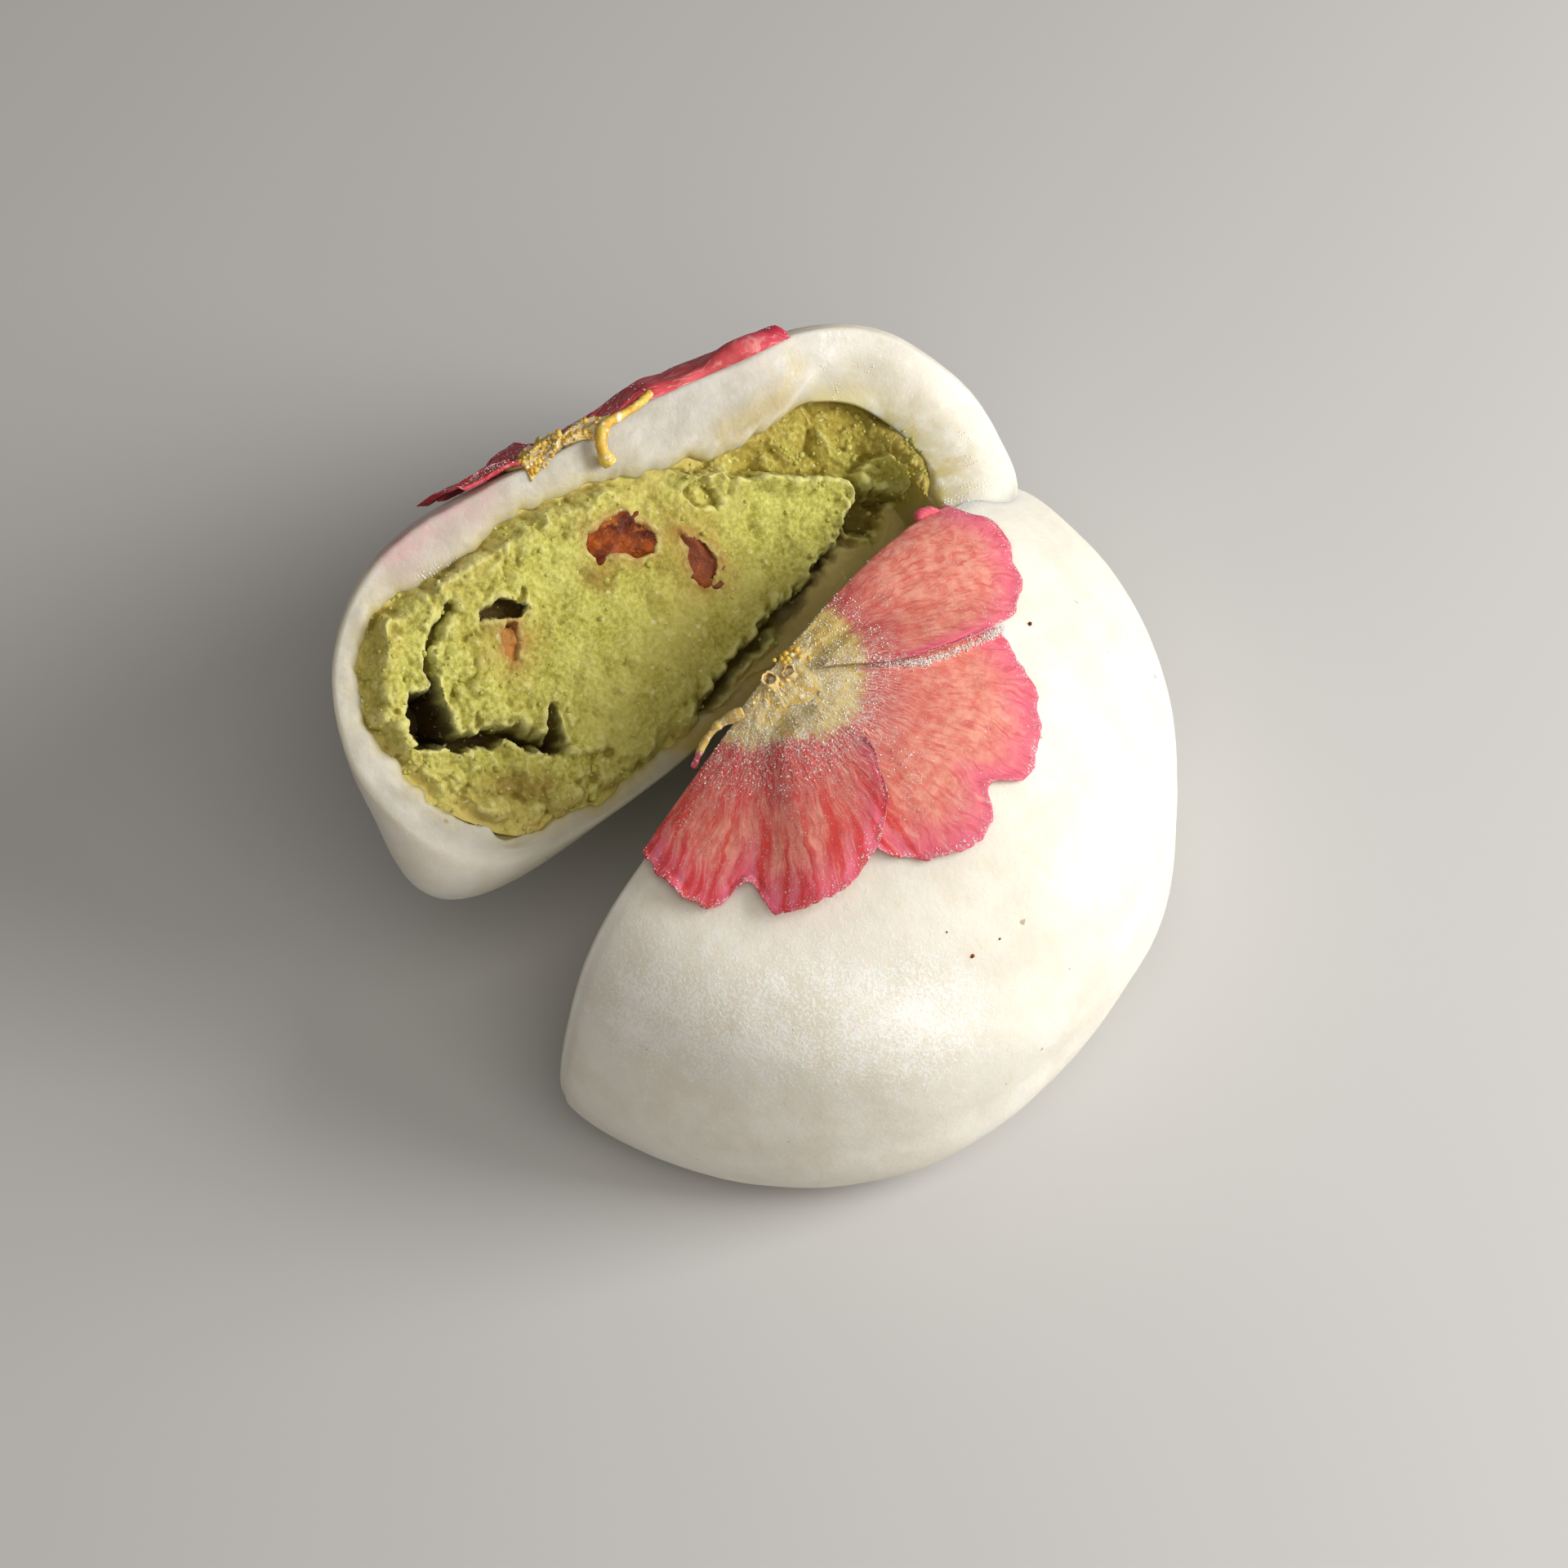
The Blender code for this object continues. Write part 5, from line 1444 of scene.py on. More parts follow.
class Wires:
    """Adds nodes to one tree and joins them."""

    def __init__(self, tree):
        self.tree = tree

    def add(self, kind, **settings):
        """A new node with its settings."""
        node = self.tree.nodes.new(kind)
        for key, value in settings.items():
            setattr(node, key, value)
        return node

    def join(self, out, into):
        """Links an output to an input."""
        self.tree.links.new(out, into)

    def feed(self, value, socket):
        """Joins a socket, or sets a plain number or colour."""
        if isinstance(value, bpy.types.NodeSocket):
            self.join(value, socket)
        elif value is not None:
            socket.default_value = value

    def math(self, operation, a, b):
        node = self.add("ShaderNodeMath", operation=operation)
        self.feed(a, node.inputs[0])
        self.feed(b, node.inputs[1])
        return node.outputs[0]

    def times(self, a, b):
        return self.math("MULTIPLY", a, b)

    def plus(self, a, b):
        return self.math("ADD", a, b)

    def mix(self, share, a, b):
        """Colour a turned into colour b by a share. A and B of a colour are sockets 6 and 7."""
        node = self.add("ShaderNodeMix", data_type="RGBA")
        self.feed(share, node.inputs[0])
        self.feed(a, node.inputs[6])
        self.feed(b, node.inputs[7])
        return node.outputs[2]

    def remap(self, value, low, high, to_low=0.0, to_high=1.0):
        """Eases a value from low..high on to to_low..to_high."""
        node = self.add("ShaderNodeMapRange", interpolation_type="SMOOTHSTEP")
        self.feed(value, node.inputs[0])
        for index, number in zip(range(1, 5), (low, high, to_low, to_high)):
            self.feed(number, node.inputs[index])
        return node.outputs[0]

    def noise(self, where, scale, detail=2.0, roughness=0.5):
        """Blender's own soft noise, about 0.5 on average."""
        node = self.add("ShaderNodeTexNoise")
        self.join(where, node.inputs["Vector"])
        self.feed(scale, node.inputs["Scale"])
        node.inputs["Detail"].default_value = detail
        node.inputs["Roughness"].default_value = roughness
        return node.outputs["Fac"]

    def place(self):
        """Object coordinates, in metres."""
        return self.add("ShaderNodeTexCoord").outputs["Object"]

    def mark(self, label):
        """One of the marks stored with a piece's points."""
        return self.add("ShaderNodeAttribute", attribute_name=label).outputs["Fac"]

    def bump(self, height, strength, distance, normal=None):
        """Relief from a height, on top of an earlier bump's normal if there is one."""
        node = self.add("ShaderNodeBump")
        self.join(height, node.inputs["Height"])
        node.inputs["Strength"].default_value = strength
        node.inputs["Distance"].default_value = distance
        if normal is not None:
            self.join(normal, node.inputs["Normal"])
        return node.outputs[0]


# %% Sockets, colours and groups
def set_sockets(shader, values):
    """Sets what is the same all over a surface on the shader's own sockets."""
    for label, value in values.items():
        shader.inputs[label].default_value = value


def rgb(red, green, blue):
    """A colour with full alpha, as sockets want it."""
    return (red, green, blue, 1.0)


def new_group(name, inputs, outputs):
    """Node group with named sockets: (name, kind, default value)."""
    group = bpy.data.node_groups.new(name, "ShaderNodeTree")
    for direction, sockets in (("INPUT", inputs), ("OUTPUT", outputs)):
        for label, kind, value in sockets:
            socket = group.interface.new_socket(label, in_out=direction, socket_type=kind)
            if value is not None:
                socket.default_value = value
    given = group.nodes.new("NodeGroupInput").outputs
    result = group.nodes.new("NodeGroupOutput").inputs
    return group, given, result


# %% Shared effects: flour and mottle
flour_group, given, result = new_group(
    "Flour dust",
    [
        ("Place", "NodeSocketVector", None), ("Amount", "NodeSocketFloat", 0.3),
        ("Grain", "NodeSocketFloat", 5200.0),
    ],
    [("Cover", "NodeSocketFloat", None), ("Height", "NodeSocketFloat", None)],
)
wires = Wires(flour_group)
fine = wires.noise(given["Place"], given["Grain"], 3.0, 0.7)
patch = wires.noise(given["Place"], 420.0, 3.0, 0.6)
threshold = wires.math("SUBTRACT", 0.74, wires.times(given["Amount"], 0.36))
lumped = wires.plus(wires.times(fine, 0.78), wires.times(patch, 0.22))
cover = wires.remap(lumped, threshold, wires.plus(threshold, 0.11))
wires.join(cover, result["Cover"])
wires.join(wires.times(cover, fine), result["Height"])

mottle_group, given, result = new_group(
    "Mottle",
    [
        ("Place", "NodeSocketVector", None), ("Scale", "NodeSocketFloat", 300.0),
        ("Low", "NodeSocketColor", rgb(0, 0, 0)), ("High", "NodeSocketColor", rgb(1, 1, 1)),
    ],
    [("Color", "NodeSocketColor", None)],
)
wires = Wires(mottle_group)
field = wires.noise(given["Place"], given["Scale"], 4.0, 0.6)
wires.join(wires.mix(wires.remap(field, 0.32, 0.68), given["Low"], given["High"]), result["Color"])


def place_group(wires, group, values):
    """Places a shared effect in a material, with that material's own values."""
    node = wires.add("ShaderNodeGroup", node_tree=group)
    for label, value in values.items():
        wires.feed(value, node.inputs[label])
    return node.outputs


def flour(wires, where, amount, grain):
    """How much flour covers each point, and how high it lies."""
    out = place_group(wires, flour_group, {"Place": where, "Amount": amount, "Grain": grain})
    return out["Cover"], out["Height"]


def mottle(wires, where, scale, low, high):
    """Two colours mixed in soft patches."""
    values = {"Place": where, "Scale": scale, "Low": low, "High": high}
    return place_group(wires, mottle_group, values)["Color"]


FLOUR_WHITE = rgb(0.91, 0.90, 0.865)
print("groups:", [group.name for group in bpy.data.node_groups])

# %% [markdown]
# ## Dough finish
# Rice dough is milky: light goes in and comes out a millimetre away, which softens every shadow.
# Subsurface scattering does that. The skin is dry and dusted, the cut face is moist, so it is
# glossier and a little yellower towards the paste. Towards the hinge end the cut face is painted
# pale cream, painted light and sheen where the moist face catches the lamp.

# %% Dough
CREAM_LOW, CREAM_HIGH = rgb(0.77, 0.725, 0.615), rgb(0.84, 0.81, 0.725)
CUT_LOW, CUT_HIGH = rgb(0.38, 0.355, 0.30), rgb(0.50, 0.475, 0.42)
# Painted light and sheen colour for the cut face towards the hinge end.
PAINTED_SHEEN_CREAM = rgb(0.90, 0.875, 0.80)
PASTE_TINT = rgb(0.52, 0.44, 0.17)
SMEAR_TINT = rgb(0.42, 0.31, 0.055)
OCHRE_TINT = rgb(0.60, 0.48, 0.17)
PINK_TINT = rgb(0.60, 0.36, 0.36)
SPECK_TINT = rgb(0.30, 0.17, 0.07)

dough_material, shader = new_material("rice_dough")
wires = Wires(dough_material.node_tree)
where = wires.place()
cream = mottle(wires, where, 210.0, CREAM_LOW, CREAM_HIGH)
cut_tone = mottle(wires, where, 260.0, CUT_LOW, CUT_HIGH)
# Painted light and sheen: the cut face turns pale cream where the mark is high.
cut_tone = wires.mix(wires.mark("wet_and_sheen"), cut_tone, PAINTED_SHEEN_CREAM)
cut = wires.mark("cut")
near = wires.mark("near_paste")
colour = wires.mix(wires.times(cut, 0.85), cream, cut_tone)
patches = wires.remap(wires.noise(where, 500.0, 3.0), 0.30, 0.60, 0.35, 1.0)
yellow = wires.times(near, patches)
colour = wires.mix(yellow, colour, PASTE_TINT)
patches = wires.remap(wires.noise(where, 420.0, 4.0, 0.6), 0.30, 0.52, 0.25, 1.0)
smear = wires.times(wires.mark("green"), patches)
colour = wires.mix(wires.times(smear, 0.92), colour, SMEAR_TINT)
patches = wires.remap(wires.noise(where, 380.0, 4.0, 0.6), 0.40, 0.62, 0.0, 0.7)
colour = wires.mix(wires.times(wires.mark("ochre"), patches), colour, OCHRE_TINT)
patches = wires.remap(wires.noise(where, 600.0, 3.0), 0.25, 0.7, 0.3, 0.9)
colour = wires.mix(wires.times(wires.mark("pink"), patches), colour, PINK_TINT)
speck = wires.remap(wires.noise(where, 950.0, 1.0), 0.785, 0.81)
colour = wires.mix(wires.times(speck, 0.6), colour, SPECK_TINT)
skin = wires.math("SUBTRACT", 1.0, cut)
amount = wires.plus(wires.times(skin, 0.40), wires.times(wires.mark("drift"), 0.65))
cover, dust = flour(wires, where, amount, 3600.0)
cover = wires.times(cover, 0.75)
colour = wires.mix(cover, colour, FLOUR_WHITE)
wires.join(colour, shader.inputs["Base Color"])
patches = wires.remap(wires.noise(where, 330.0, 3.0, 0.55), 0.50, 0.60)
pool = wires.times(wires.mark("wet_and_sheen"), patches)
dull = wires.remap(wires.noise(where, 900.0, 3.0, 0.6), 0.4, 0.7, 0.42, 0.58)
gloss = wires.math("SUBTRACT", dull, wires.times(pool, 0.34))
rough = wires.add("ShaderNodeMix", data_type="FLOAT")
wires.feed(cut, rough.inputs[0])
rough.inputs[2].default_value = 0.62
wires.join(gloss, rough.inputs[3])
rough = wires.math("MAXIMUM", rough.outputs[0], wires.times(cover, 1.4))
wires.join(rough, shader.inputs["Roughness"])
pores = wires.noise(where, 2600.0, 4.0, 0.65)
lumps = wires.noise(where, 520.0, 3.0, 0.5)
normal = wires.bump(lumps, 0.40, 0.0003)
normal = wires.bump(pores, 0.45, 0.00012, normal)
normal = wires.bump(dust, 0.6, 0.00008, normal)
wires.join(normal, shader.inputs["Normal"])
set_sockets(shader, {
    "Subsurface Weight": 0.55,
    "Subsurface Radius": (1.0, 0.72, 0.42),
    "Subsurface Scale": 0.0028,
    "Specular IOR Level": 0.42,
})

# %% [markdown]
# ## Paste finish
# Bean paste is mealy and matt, yellow-green and warmer at its edge, with pale skins of bean and
# darker green shreds in it. Shade is painted on it: browner in its deep places and where the front
# half's shadow falls on the lower middle, dark in its holes, cracks and the gap under the block,
# and darker in the furrows between crumbs, while painted light makes the crumbs' ridges paler.

# %% Paste
GREEN_LOW, GREEN_HIGH = rgb(0.37, 0.345, 0.038), rgb(0.57, 0.56, 0.115)
MEAL_LOW, MEAL_HIGH = rgb(0.30, 0.265, 0.020), rgb(0.76, 0.735, 0.25)
OLIVE = rgb(0.40, 0.33, 0.065)
WARM_EDGE = rgb(0.64, 0.51, 0.16)
PAINTED_SHADE_BROWN = rgb(0.31, 0.22, 0.026)
LIGHT_GREEN = rgb(0.76, 0.73, 0.25)
PAINTED_RIDGE_LIGHT = rgb(0.80, 0.77, 0.32)
PAINTED_FURROW_SHADE = rgb(0.20, 0.15, 0.014)
BARE_TAN = rgb(0.54, 0.43, 0.16)
BROWN_STAIN = rgb(0.20, 0.09, 0.015)
RED_JUICE = rgb(0.36, 0.145, 0.035)
PAINTED_HOLE_SHADE = rgb(0.030, 0.012, 0.003)
BEAN_SKIN = rgb(0.80, 0.78, 0.45)
DARK_SHRED = rgb(0.18, 0.17, 0.012)

paste_material, shader = new_material("green_paste")
wires = Wires(paste_material.node_tree)
where = wires.place()
green = mottle(wires, where, 330.0, GREEN_LOW, GREEN_HIGH)
grainy = mottle(wires, where, 2600.0, MEAL_LOW, MEAL_HIGH)
colour = wires.mix(0.5, green, grainy)
patches = wires.remap(wires.noise(where, 130.0, 3.0), 0.42, 0.64, 0.0, 0.38)
colour = wires.mix(patches, colour, OLIVE)
patches = wires.remap(wires.noise(where, 260.0, 3.0), 0.3, 0.65, 0.35, 0.9)
colour = wires.mix(wires.times(wires.mark("edge"), patches), colour, WARM_EDGE)
# Painted shade in the deep places and in the front half's shadow.
colour = wires.mix(wires.times(wires.mark("low"), 0.72), colour, PAINTED_SHADE_BROWN)
smooth = wires.math("SUBTRACT", 1.0, wires.mark("loose"))
patches = wires.remap(wires.noise(where, 170.0, 2.0), 0.45, 0.60, 0.0, 0.18)
colour = wires.mix(wires.times(smooth, patches), colour, LIGHT_GREEN)
ridge = wires.mark("ridge")
# Painted light on the ridges and painted shade in the furrows.
colour = wires.mix(wires.remap(ridge, 0.02, 0.24, 0.0, 0.55), colour, PAINTED_RIDGE_LIGHT)
colour = wires.mix(wires.remap(ridge, -0.03, -0.26, 0.0, 0.75), colour, PAINTED_FURROW_SHADE)
patches = wires.remap(wires.noise(where, 380.0, 4.0, 0.6), 0.25, 0.5, 0.6, 1.0)
colour = wires.mix(wires.times(wires.mark("bare"), patches), colour, BARE_TAN)
colour = wires.mix(wires.times(wires.mark("brown"), 0.55), colour, BROWN_STAIN)
patches = wires.remap(wires.noise(where, 700.0, 3.0, 0.6), 0.3, 0.6, 0.3, 0.9)
colour = wires.mix(wires.times(wires.mark("red"), patches), colour, RED_JUICE)
# Painted shade in the holes, the cracks and the gap under the block.
colour = wires.mix(wires.times(wires.mark("dark"), 0.92), colour, PAINTED_HOLE_SHADE)
pale = wires.remap(wires.noise(where, 1500.0, 2.0), 0.66, 0.74)
colour = wires.mix(wires.times(pale, 0.5), colour, BEAN_SKIN)
shred = wires.remap(wires.noise(where, 900.0, 5.0, 0.7), 0.66, 0.73)
colour = wires.mix(wires.times(shred, 0.45), colour, DARK_SHRED)
wires.join(colour, shader.inputs["Base Color"])
rough = wires.remap(wires.noise(where, 900.0, 3.0), 0.3, 0.7, 0.55, 0.85)
wires.join(rough, shader.inputs["Roughness"])
normal = wires.bump(wires.noise(where, 1700.0, 5.0, 0.7), 0.7, 0.00028)
normal = wires.bump(wires.noise(where, 5200.0, 3.0, 0.6), 0.5, 0.00010, normal)
wires.join(normal, shader.inputs["Normal"])
set_sockets(shader, {
    "Subsurface Weight": 0.12,
    "Subsurface Radius": (1.0, 0.8, 0.25),
    "Subsurface Scale": 0.0008,
    "Specular IOR Level": 0.16,
})

# %% [markdown]
# ## Petal finish
# The colours follow the petal, so they read its own marks: how far out a point is, its distance
# from the edge and its angle. Streaks are noise that is stretched along the petal by giving it a
# high scale across the angle and a low one along the radius.

# %% Petals
CORAL_LOW, CORAL_HIGH = rgb(0.66, 0.17, 0.125), rgb(0.80, 0.33, 0.245)
ROSE = rgb(0.74, 0.135, 0.21)
CRIMSON = rgb(0.50, 0.022, 0.034)
VIVID_RED = rgb(0.60, 0.025, 0.024)
VEIN_RED = rgb(0.55, 0.042, 0.062)
PALE_VEIN = rgb(0.86, 0.47, 0.30)
TORN_LOW, TORN_HIGH = rgb(0.46, 0.012, 0.036), rgb(0.68, 0.060, 0.10)
TORN_PALE = rgb(0.84, 0.40, 0.36)
GOLD_LOW, GOLD_HIGH = rgb(0.48, 0.30, 0.050), rgb(0.74, 0.56, 0.165)
FROST = rgb(0.88, 0.83, 0.74)

petal_material, shader = new_material("rose_petal")
wires = Wires(petal_material.node_tree)
where = wires.place()
radius, angle, rim = (wires.mark(label) for label in ("radius", "angle", "rim"))
polar = wires.add("ShaderNodeCombineXYZ")
wires.join(wires.times(radius, 0.22), polar.inputs[0])
wander = wires.times(wires.math("SUBTRACT", wires.noise(where, 300.0, 2.0), 0.5), 9.0)
wires.join(wires.times(wires.plus(angle, wander), 0.42), polar.inputs[1])
streak = wires.noise(polar.outputs[0], 0.55, 4.0, 0.6)
thin_streak = wires.noise(polar.outputs[0], 2.0, 4.0, 0.65)
coral = mottle(wires, where, 900.0, CORAL_LOW, CORAL_HIGH)
edge_band = wires.remap(wires.plus(rim, wires.times(streak, 3.0)), 1.6, 6.2, 1.0, 0.0)
colour = wires.mix(edge_band, coral, ROSE)
inner_band = wires.remap(wires.plus(radius, wires.times(streak, 9.0)), 11.0, 19.5, 1.0, 0.0)
colour = wires.mix(wires.times(inner_band, 0.85), colour, CRIMSON)
vivid = wires.times(wires.remap(angle, 92.0, 104.0), wires.remap(streak, 0.42, 0.60))
colour = wires.mix(wires.times(vivid, 0.85), colour, VIVID_RED)
lines = wires.remap(thin_streak, 0.50, 0.64)
colour = wires.mix(wires.times(lines, 0.50), colour, VEIN_RED)
pale_lines = wires.remap(thin_streak, 0.44, 0.32)
colour = wires.mix(wires.times(pale_lines, 0.36), colour, PALE_VEIN)
fresh = wires.remap(wires.mark("dusty"), 0.2, 0.7, 0.8, 0.0)
torn = mottle(wires, where, 420.0, TORN_LOW, TORN_HIGH)
torn = wires.mix(wires.remap(thin_streak, 0.50, 0.66, 0.0, 0.75), torn, TORN_PALE)
colour = wires.mix(fresh, colour, torn)
reach = wires.plus(radius, wires.times(streak, 3.4))
reach = wires.plus(reach, wires.remap(angle, 85.0, 130.0, 0.0, 2.0))
reach = wires.plus(reach, wires.remap(wires.mark("dusty"), 0.2, 0.9, 3.4, 0.0))
gold = wires.remap(reach, 8.9, 10.4, 1.0, 0.0)
gold_tone = mottle(wires, where, 900.0, GOLD_LOW, GOLD_HIGH)
colour = wires.mix(gold, colour, gold_tone)
fibre = wires.noise(polar.outputs[0], 5.0, 3.0, 0.7)
frost = wires.times(wires.remap(radius, 8.0, 14.0, 1.0, 0.0), wires.remap(fibre, 0.46, 0.62))
facing = wires.remap(angle, 20.0, 60.0, 0.3, 1.0)
frost = wires.times(frost, wires.times(wires.mark("dusty"), facing))
frost = wires.times(frost, wires.remap(angle, 95.0, 125.0, 1.0, 0.45))
colour = wires.mix(wires.times(frost, 0.6), colour, FROST)
amount = wires.plus(0.46, wires.times(wires.remap(radius, 5.0, 13.0, 1.0, 0.0), 0.22))
amount = wires.plus(amount, wires.remap(rim, 0.0, 1.0, 0.20, 0.0))
amount = wires.times(amount, wires.mark("dusty"))
bare_gold = wires.times(gold, wires.remap(angle, 50.0, 30.0))
amount = wires.times(amount, wires.math("SUBTRACT", 1.0, wires.times(bare_gold, 0.55)))
cover, dust = flour(wires, where, amount, 5200.0)
colour = wires.mix(wires.times(cover, 0.70), colour, FLOUR_WHITE)
wires.join(colour, shader.inputs["Base Color"])
rough = wires.remap(wires.noise(where, 1200.0, 3.0), 0.3, 0.7, 0.5, 0.75)
wires.join(rough, shader.inputs["Roughness"])
normal = wires.bump(thin_streak, 0.30, 0.00012)
normal = wires.bump(wires.noise(where, 3200.0, 4.0, 0.6), 0.35, 0.00008, normal)
normal = wires.bump(dust, 0.7, 0.00010, normal)
wires.join(normal, shader.inputs["Normal"])
set_sockets(shader, {
    "Subsurface Weight": 0.15,
    "Subsurface Radius": (1.0, 0.35, 0.3),
    "Subsurface Scale": 0.0006,
    "Specular IOR Level": 0.25,
})

# %% [markdown]
# ## Pollen and nut
# Pollen is crumbly gold under flour. It is painted rust-dark where its tufts are low and inside
# the throat tubes, which is painted shade, and paler on the high tufts, which is painted light.
# The nut is moist, dark red-brown and shiny, paler where the knife went through it.

# %% Pollen and nut
POLLEN_LOW, POLLEN_HIGH = rgb(0.50, 0.29, 0.035), rgb(0.76, 0.55, 0.14)
SHADE_RUST = rgb(0.20, 0.075, 0.006)
PAINTED_TUFT_LIGHT = rgb(0.78, 0.68, 0.40)
THREAD_PINK = rgb(0.58, 0.06, 0.11)
POLLEN_PALE = rgb(0.70, 0.58, 0.24)
BRIGHT_LOW, BRIGHT_HIGH = rgb(0.70, 0.36, 0.030), rgb(0.84, 0.64, 0.11)
BRIGHT_PALE = rgb(0.86, 0.80, 0.58)
NUT_LOW, NUT_HIGH = rgb(0.070, 0.009, 0.003), rgb(0.33, 0.066, 0.006)
NUT_ORANGE = rgb(0.52, 0.165, 0.018)
NUT_EDGE = rgb(0.060, 0.008, 0.003)
NUT_PALE = rgb(0.46, 0.225, 0.050)
NUT_PURPLE = rgb(0.19, 0.060, 0.028)

pollen_material, shader = new_material("gold_eye")
wires = Wires(pollen_material.node_tree)
where = wires.place()
colour = mottle(wires, where, 700.0, POLLEN_LOW, POLLEN_HIGH)
# Painted shade and light: rust-dark where the tufts are low and inside the tubes, paler where they
# are high.
colour = wires.mix(wires.remap(wires.mark("tuft"), -0.05, -0.35, 0.0, 0.8), colour, SHADE_RUST)
colour = wires.mix(wires.remap(wires.mark("tuft"), 0.12, 0.36, 0.0, 0.5), colour, PAINTED_TUFT_LIGHT)
colour = wires.mix(wires.mark("pink"), colour, THREAD_PINK)
colour = wires.mix(wires.remap(wires.noise(where, 1600.0, 3.0), 0.56, 0.7), colour, POLLEN_PALE)
cover, dust = flour(wires, where, 0.62, 3000.0)
colour = wires.mix(wires.times(cover, 0.75), colour, FLOUR_WHITE)
wires.join(colour, shader.inputs["Base Color"])
rough = wires.remap(wires.noise(where, 1300.0, 3.0), 0.3, 0.7, 0.45, 0.85)
wires.join(rough, shader.inputs["Roughness"])
normal = wires.bump(wires.noise(where, 2800.0, 4.0, 0.7), 0.6, 0.0002)
wires.join(wires.bump(dust, 0.6, 0.0001, normal), shader.inputs["Normal"])

# %% Bright pollen
bright_material, shader = new_material("bright_pollen")
wires = Wires(bright_material.node_tree)
where = wires.place()
colour = mottle(wires, where, 1100.0, BRIGHT_LOW, BRIGHT_HIGH)
colour = wires.mix(wires.remap(wires.noise(where, 1500.0, 2.0), 0.56, 0.66), colour, BRIGHT_PALE)
wires.join(colour, shader.inputs["Base Color"])
rough = wires.remap(wires.noise(where, 1300.0, 3.0), 0.3, 0.7, 0.35, 0.75)
wires.join(rough, shader.inputs["Roughness"])
normal = wires.bump(wires.noise(where, 3200.0, 3.0, 0.6), 0.5, 0.00015)
wires.join(normal, shader.inputs["Normal"])

# %% Nut
nut_material, shader = new_material("brown_nut")
wires = Wires(nut_material.node_tree)
where = wires.place()
colour = mottle(wires, where, 480.0, NUT_LOW, NUT_HIGH)
patches = wires.remap(wires.noise(where, 700.0, 3.0, 0.6), 0.56, 0.68, 0.0, 0.7)
colour = wires.mix(patches, colour, NUT_ORANGE)
colour = wires.mix(wires.remap(wires.mark("out"), 0.80, 1.0, 0.0, 0.75), colour, NUT_EDGE)
tone = wires.mark("tone")
pale_share = wires.times(wires.remap(tone, 0.2, 0.5), wires.remap(tone, 1.0, 0.6))
colour = wires.mix(wires.times(pale_share, 0.7), colour, NUT_PALE)
colour = wires.mix(wires.remap(tone, 0.6, 1.0, 0.0, 0.45), colour, NUT_PURPLE)
wires.join(colour, shader.inputs["Base Color"])
rough = wires.remap(wires.noise(where, 1500.0, 3.0), 0.35, 0.65, 0.30, 0.60)
wires.join(rough, shader.inputs["Roughness"])
normal = wires.bump(wires.noise(where, 1500.0, 4.0, 0.6), 0.7, 0.0004)
wires.join(normal, shader.inputs["Normal"])
shader.inputs["Specular IOR Level"].default_value = 0.14

# %% Flour grains
GRAIN_LOW, GRAIN_HIGH = rgb(0.84, 0.80, 0.72), rgb(0.93, 0.92, 0.89)

flour_material, shader = new_material("rice_flour")
wires = Wires(flour_material.node_tree)
where = wires.place()
wires.join(mottle(wires, where, 900.0, GRAIN_LOW, GRAIN_HIGH), shader.inputs["Base Color"])
rough = wires.remap(wires.noise(where, 2000.0, 2.0), 0.3, 0.7, 0.6, 0.9)
wires.join(rough, shader.inputs["Roughness"])
wires.join(wires.bump(wires.noise(where, 6000.0, 2.0), 0.3, 0.00004), shader.inputs["Normal"])

# %% Dress the pieces
def finish_piece(piece, material, slot, *nodes):
    """Gives a piece its material and body, and hides the CAD nodes that it replaces. Slot is not
    used.
    """
    piece.data.materials.append(material)
    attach(piece, "root")
    if nodes:
        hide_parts(*nodes)


finish_piece(dough_front, dough_material, "rice_dough", "dough")
finish_piece(dough_back, dough_material, "rice_dough", "dough")
finish_piece(paste_back, paste_material, "green_paste", "filling_back")
finish_piece(paste_front, paste_material, "green_paste", "filling_front")
finish_piece(crumbs_back, paste_material, "green_paste")
finish_piece(crumbs_front, paste_material, "green_paste")
for piece, node in nuts:
    finish_piece(piece, nut_material, "brown_nut", node)
for piece, node in petals:
    finish_piece(piece, petal_material, "rose_petal", node)
for piece, node in eyes:
    finish_piece(piece, pollen_material, "gold_eye", node)
for piece, node in strands:
    strand_material = pollen_material if node == "stamen_front" else bright_material
    finish_piece(piece, strand_material, "gold_eye", node)
for piece in tubes:
    finish_piece(piece, pollen_material, "gold_eye")
finish_piece(gold_grains, bright_material, "gold_eye")
finish_piece(petal_curl, petal_material, "rose_petal")
finish_piece(specks, nut_material, "brown_nut")
finish_piece(flour_grains, flour_material, "rice_dough")

# %% [markdown]
# ## Floor, light and camera
# The floor is plain and pale. A wide soft window light stands low on the right, as on the
# photographed cake, and a large weak one high in front keeps the shaded side readable. The camera
# looks down at 57 degrees over the opened cut. The plain view transform keeps whites white.

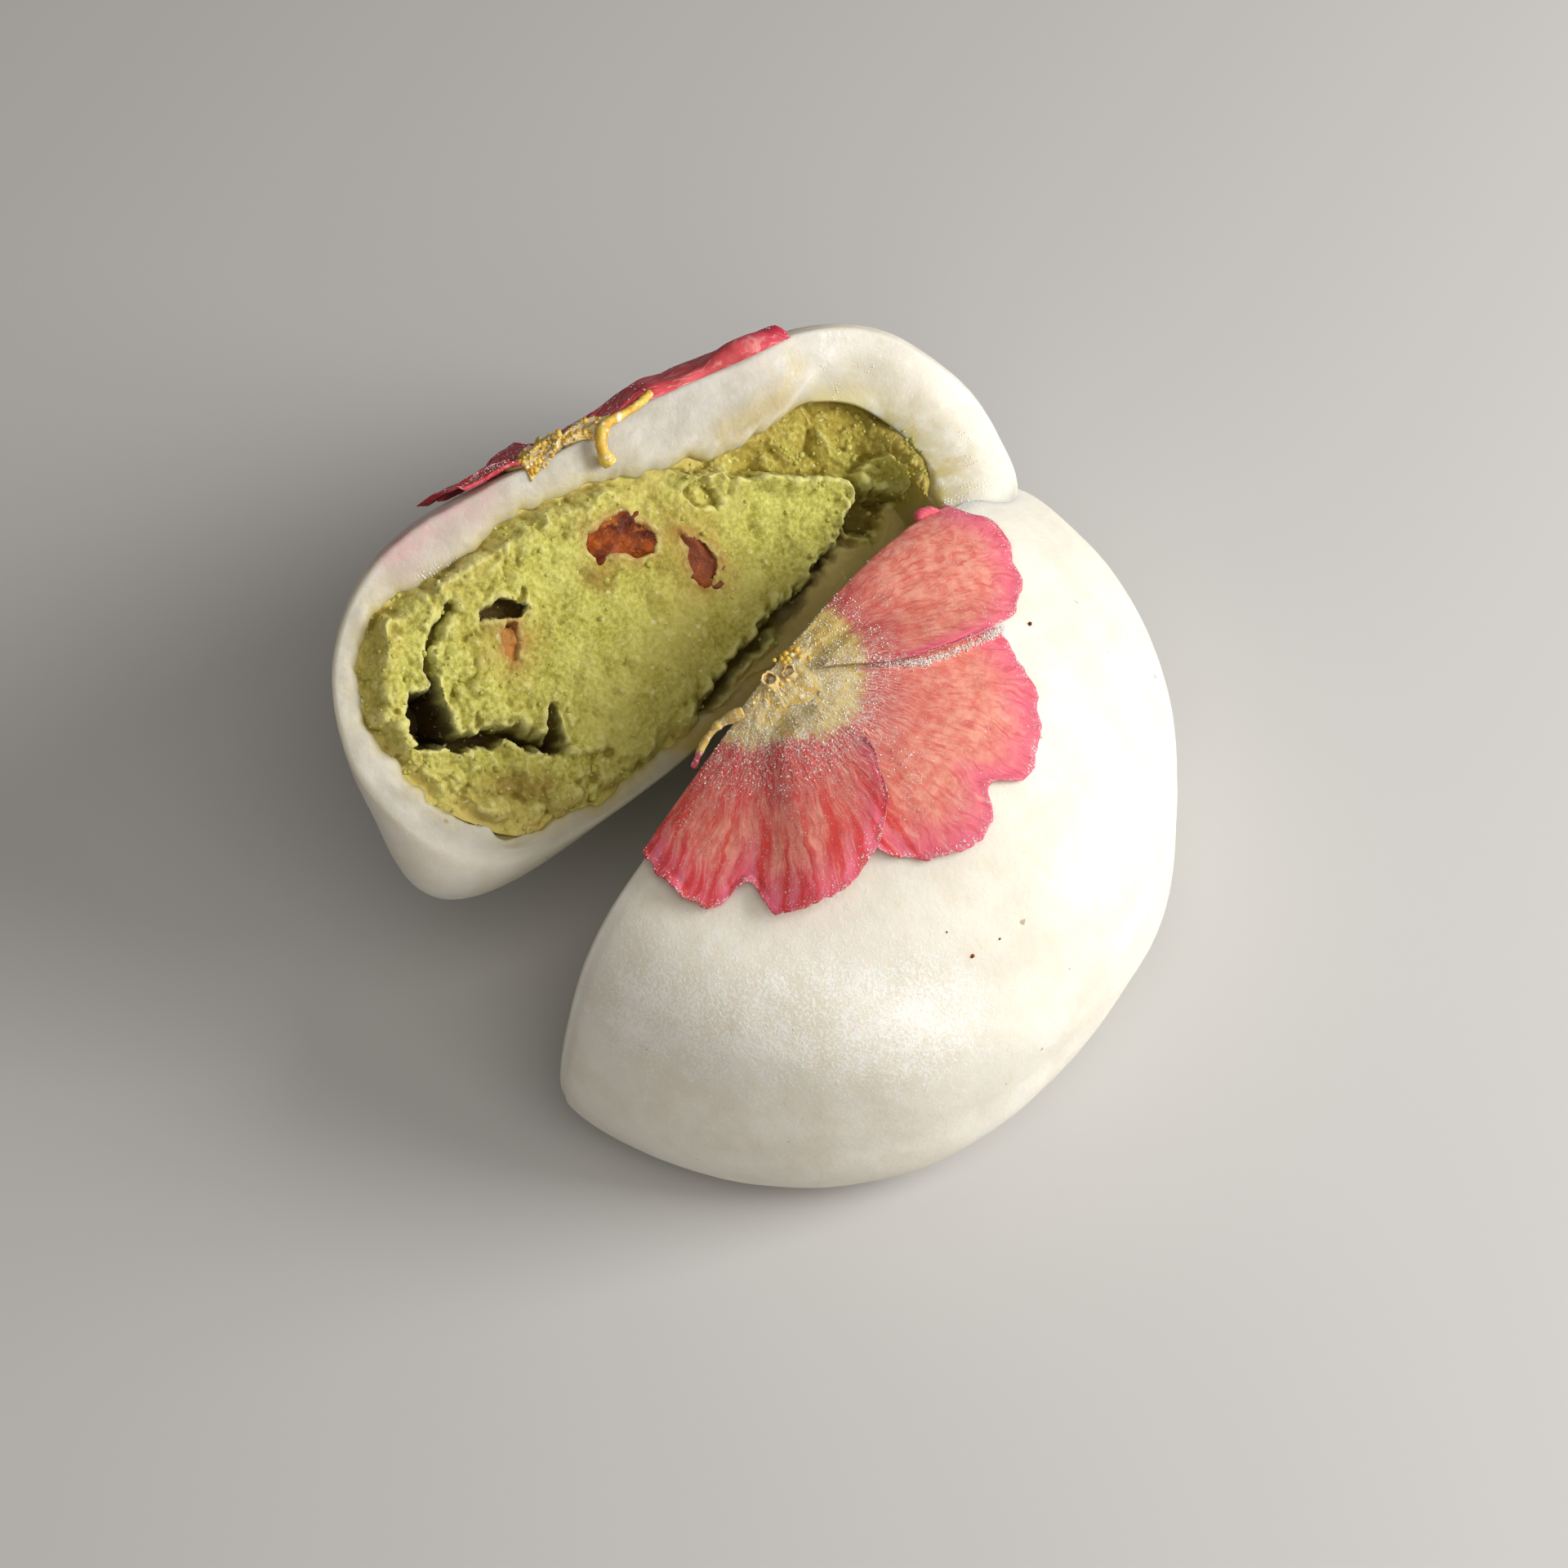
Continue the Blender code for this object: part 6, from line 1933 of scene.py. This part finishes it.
# %% Studio
FLOOR_REACH = 1500.0
floor_corners = np.array([(-1.0, -1.0, 0.0), (1.0, -1.0, 0.0), (1.0, 1.0, 0.0), (-1.0, 1.0, 0.0)])
floor = add_piece("studio_floor", FLOOR_REACH * floor_corners, [np.array([(0, 1, 2, 3)])])
floor_material, shader = new_material("pale_floor")
set_sockets(shader, {"Base Color": rgb(0.55, 0.545, 0.54), "Roughness": 0.7})
floor.data.materials.append(floor_material)


def aimed(name, data, place, aim):
    """An object at a place, turned so that its -Z looks at the aim, as lamps and cameras do."""
    holder = bpy.data.objects.new(name, data)
    bpy.context.scene.collection.objects.link(holder)
    holder.location = place
    holder.rotation_euler = (Vector(aim) - Vector(place)).to_track_quat("-Z", "Y").to_euler()
    return holder


LIGHT_AIM = (0.003, 0.003, 0.015)
for name, place, size, watts, colour in (
    ("window", (0.216, -0.296, 0.216), 0.24, 1.97, (1.0, 0.985, 0.96)),
    ("fill", (-0.14, -0.22, 0.43), 0.5, 1.22, (1.0, 0.95, 0.88)),
):
    lamp = bpy.data.lights.new(name, "AREA")
    lamp.shape, lamp.size, lamp.size_y = "RECTANGLE", size, size
    lamp.energy, lamp.color = watts, colour
    aimed(name, lamp, place, LIGHT_AIM)

AIR_COLOUR, AIR_STRENGTH = rgb(1.0, 0.97, 0.92), 0.11
air = bpy.data.worlds.new("studio_air")
air.use_nodes = True
air.node_tree.nodes["Background"].inputs[0].default_value = AIR_COLOUR
air.node_tree.nodes["Background"].inputs[1].default_value = AIR_STRENGTH
bpy.context.scene.world = air
bpy.context.scene.view_settings.view_transform = "Standard"

CAMERA_PLACE, CAMERA_AIM = (-0.1507, -0.1101, 0.2935), (0.0029, 0.0028, 0.0)
camera_data = bpy.data.cameras.new("camera")
camera_data.sensor_width, camera_data.lens, camera_data.clip_start = 36.0, 88.6, 0.01
bpy.context.scene.camera = aimed("camera", camera_data, CAMERA_PLACE, CAMERA_AIM)
print("camera looks down from", [round(1000 * value) for value in CAMERA_PLACE], "mm")
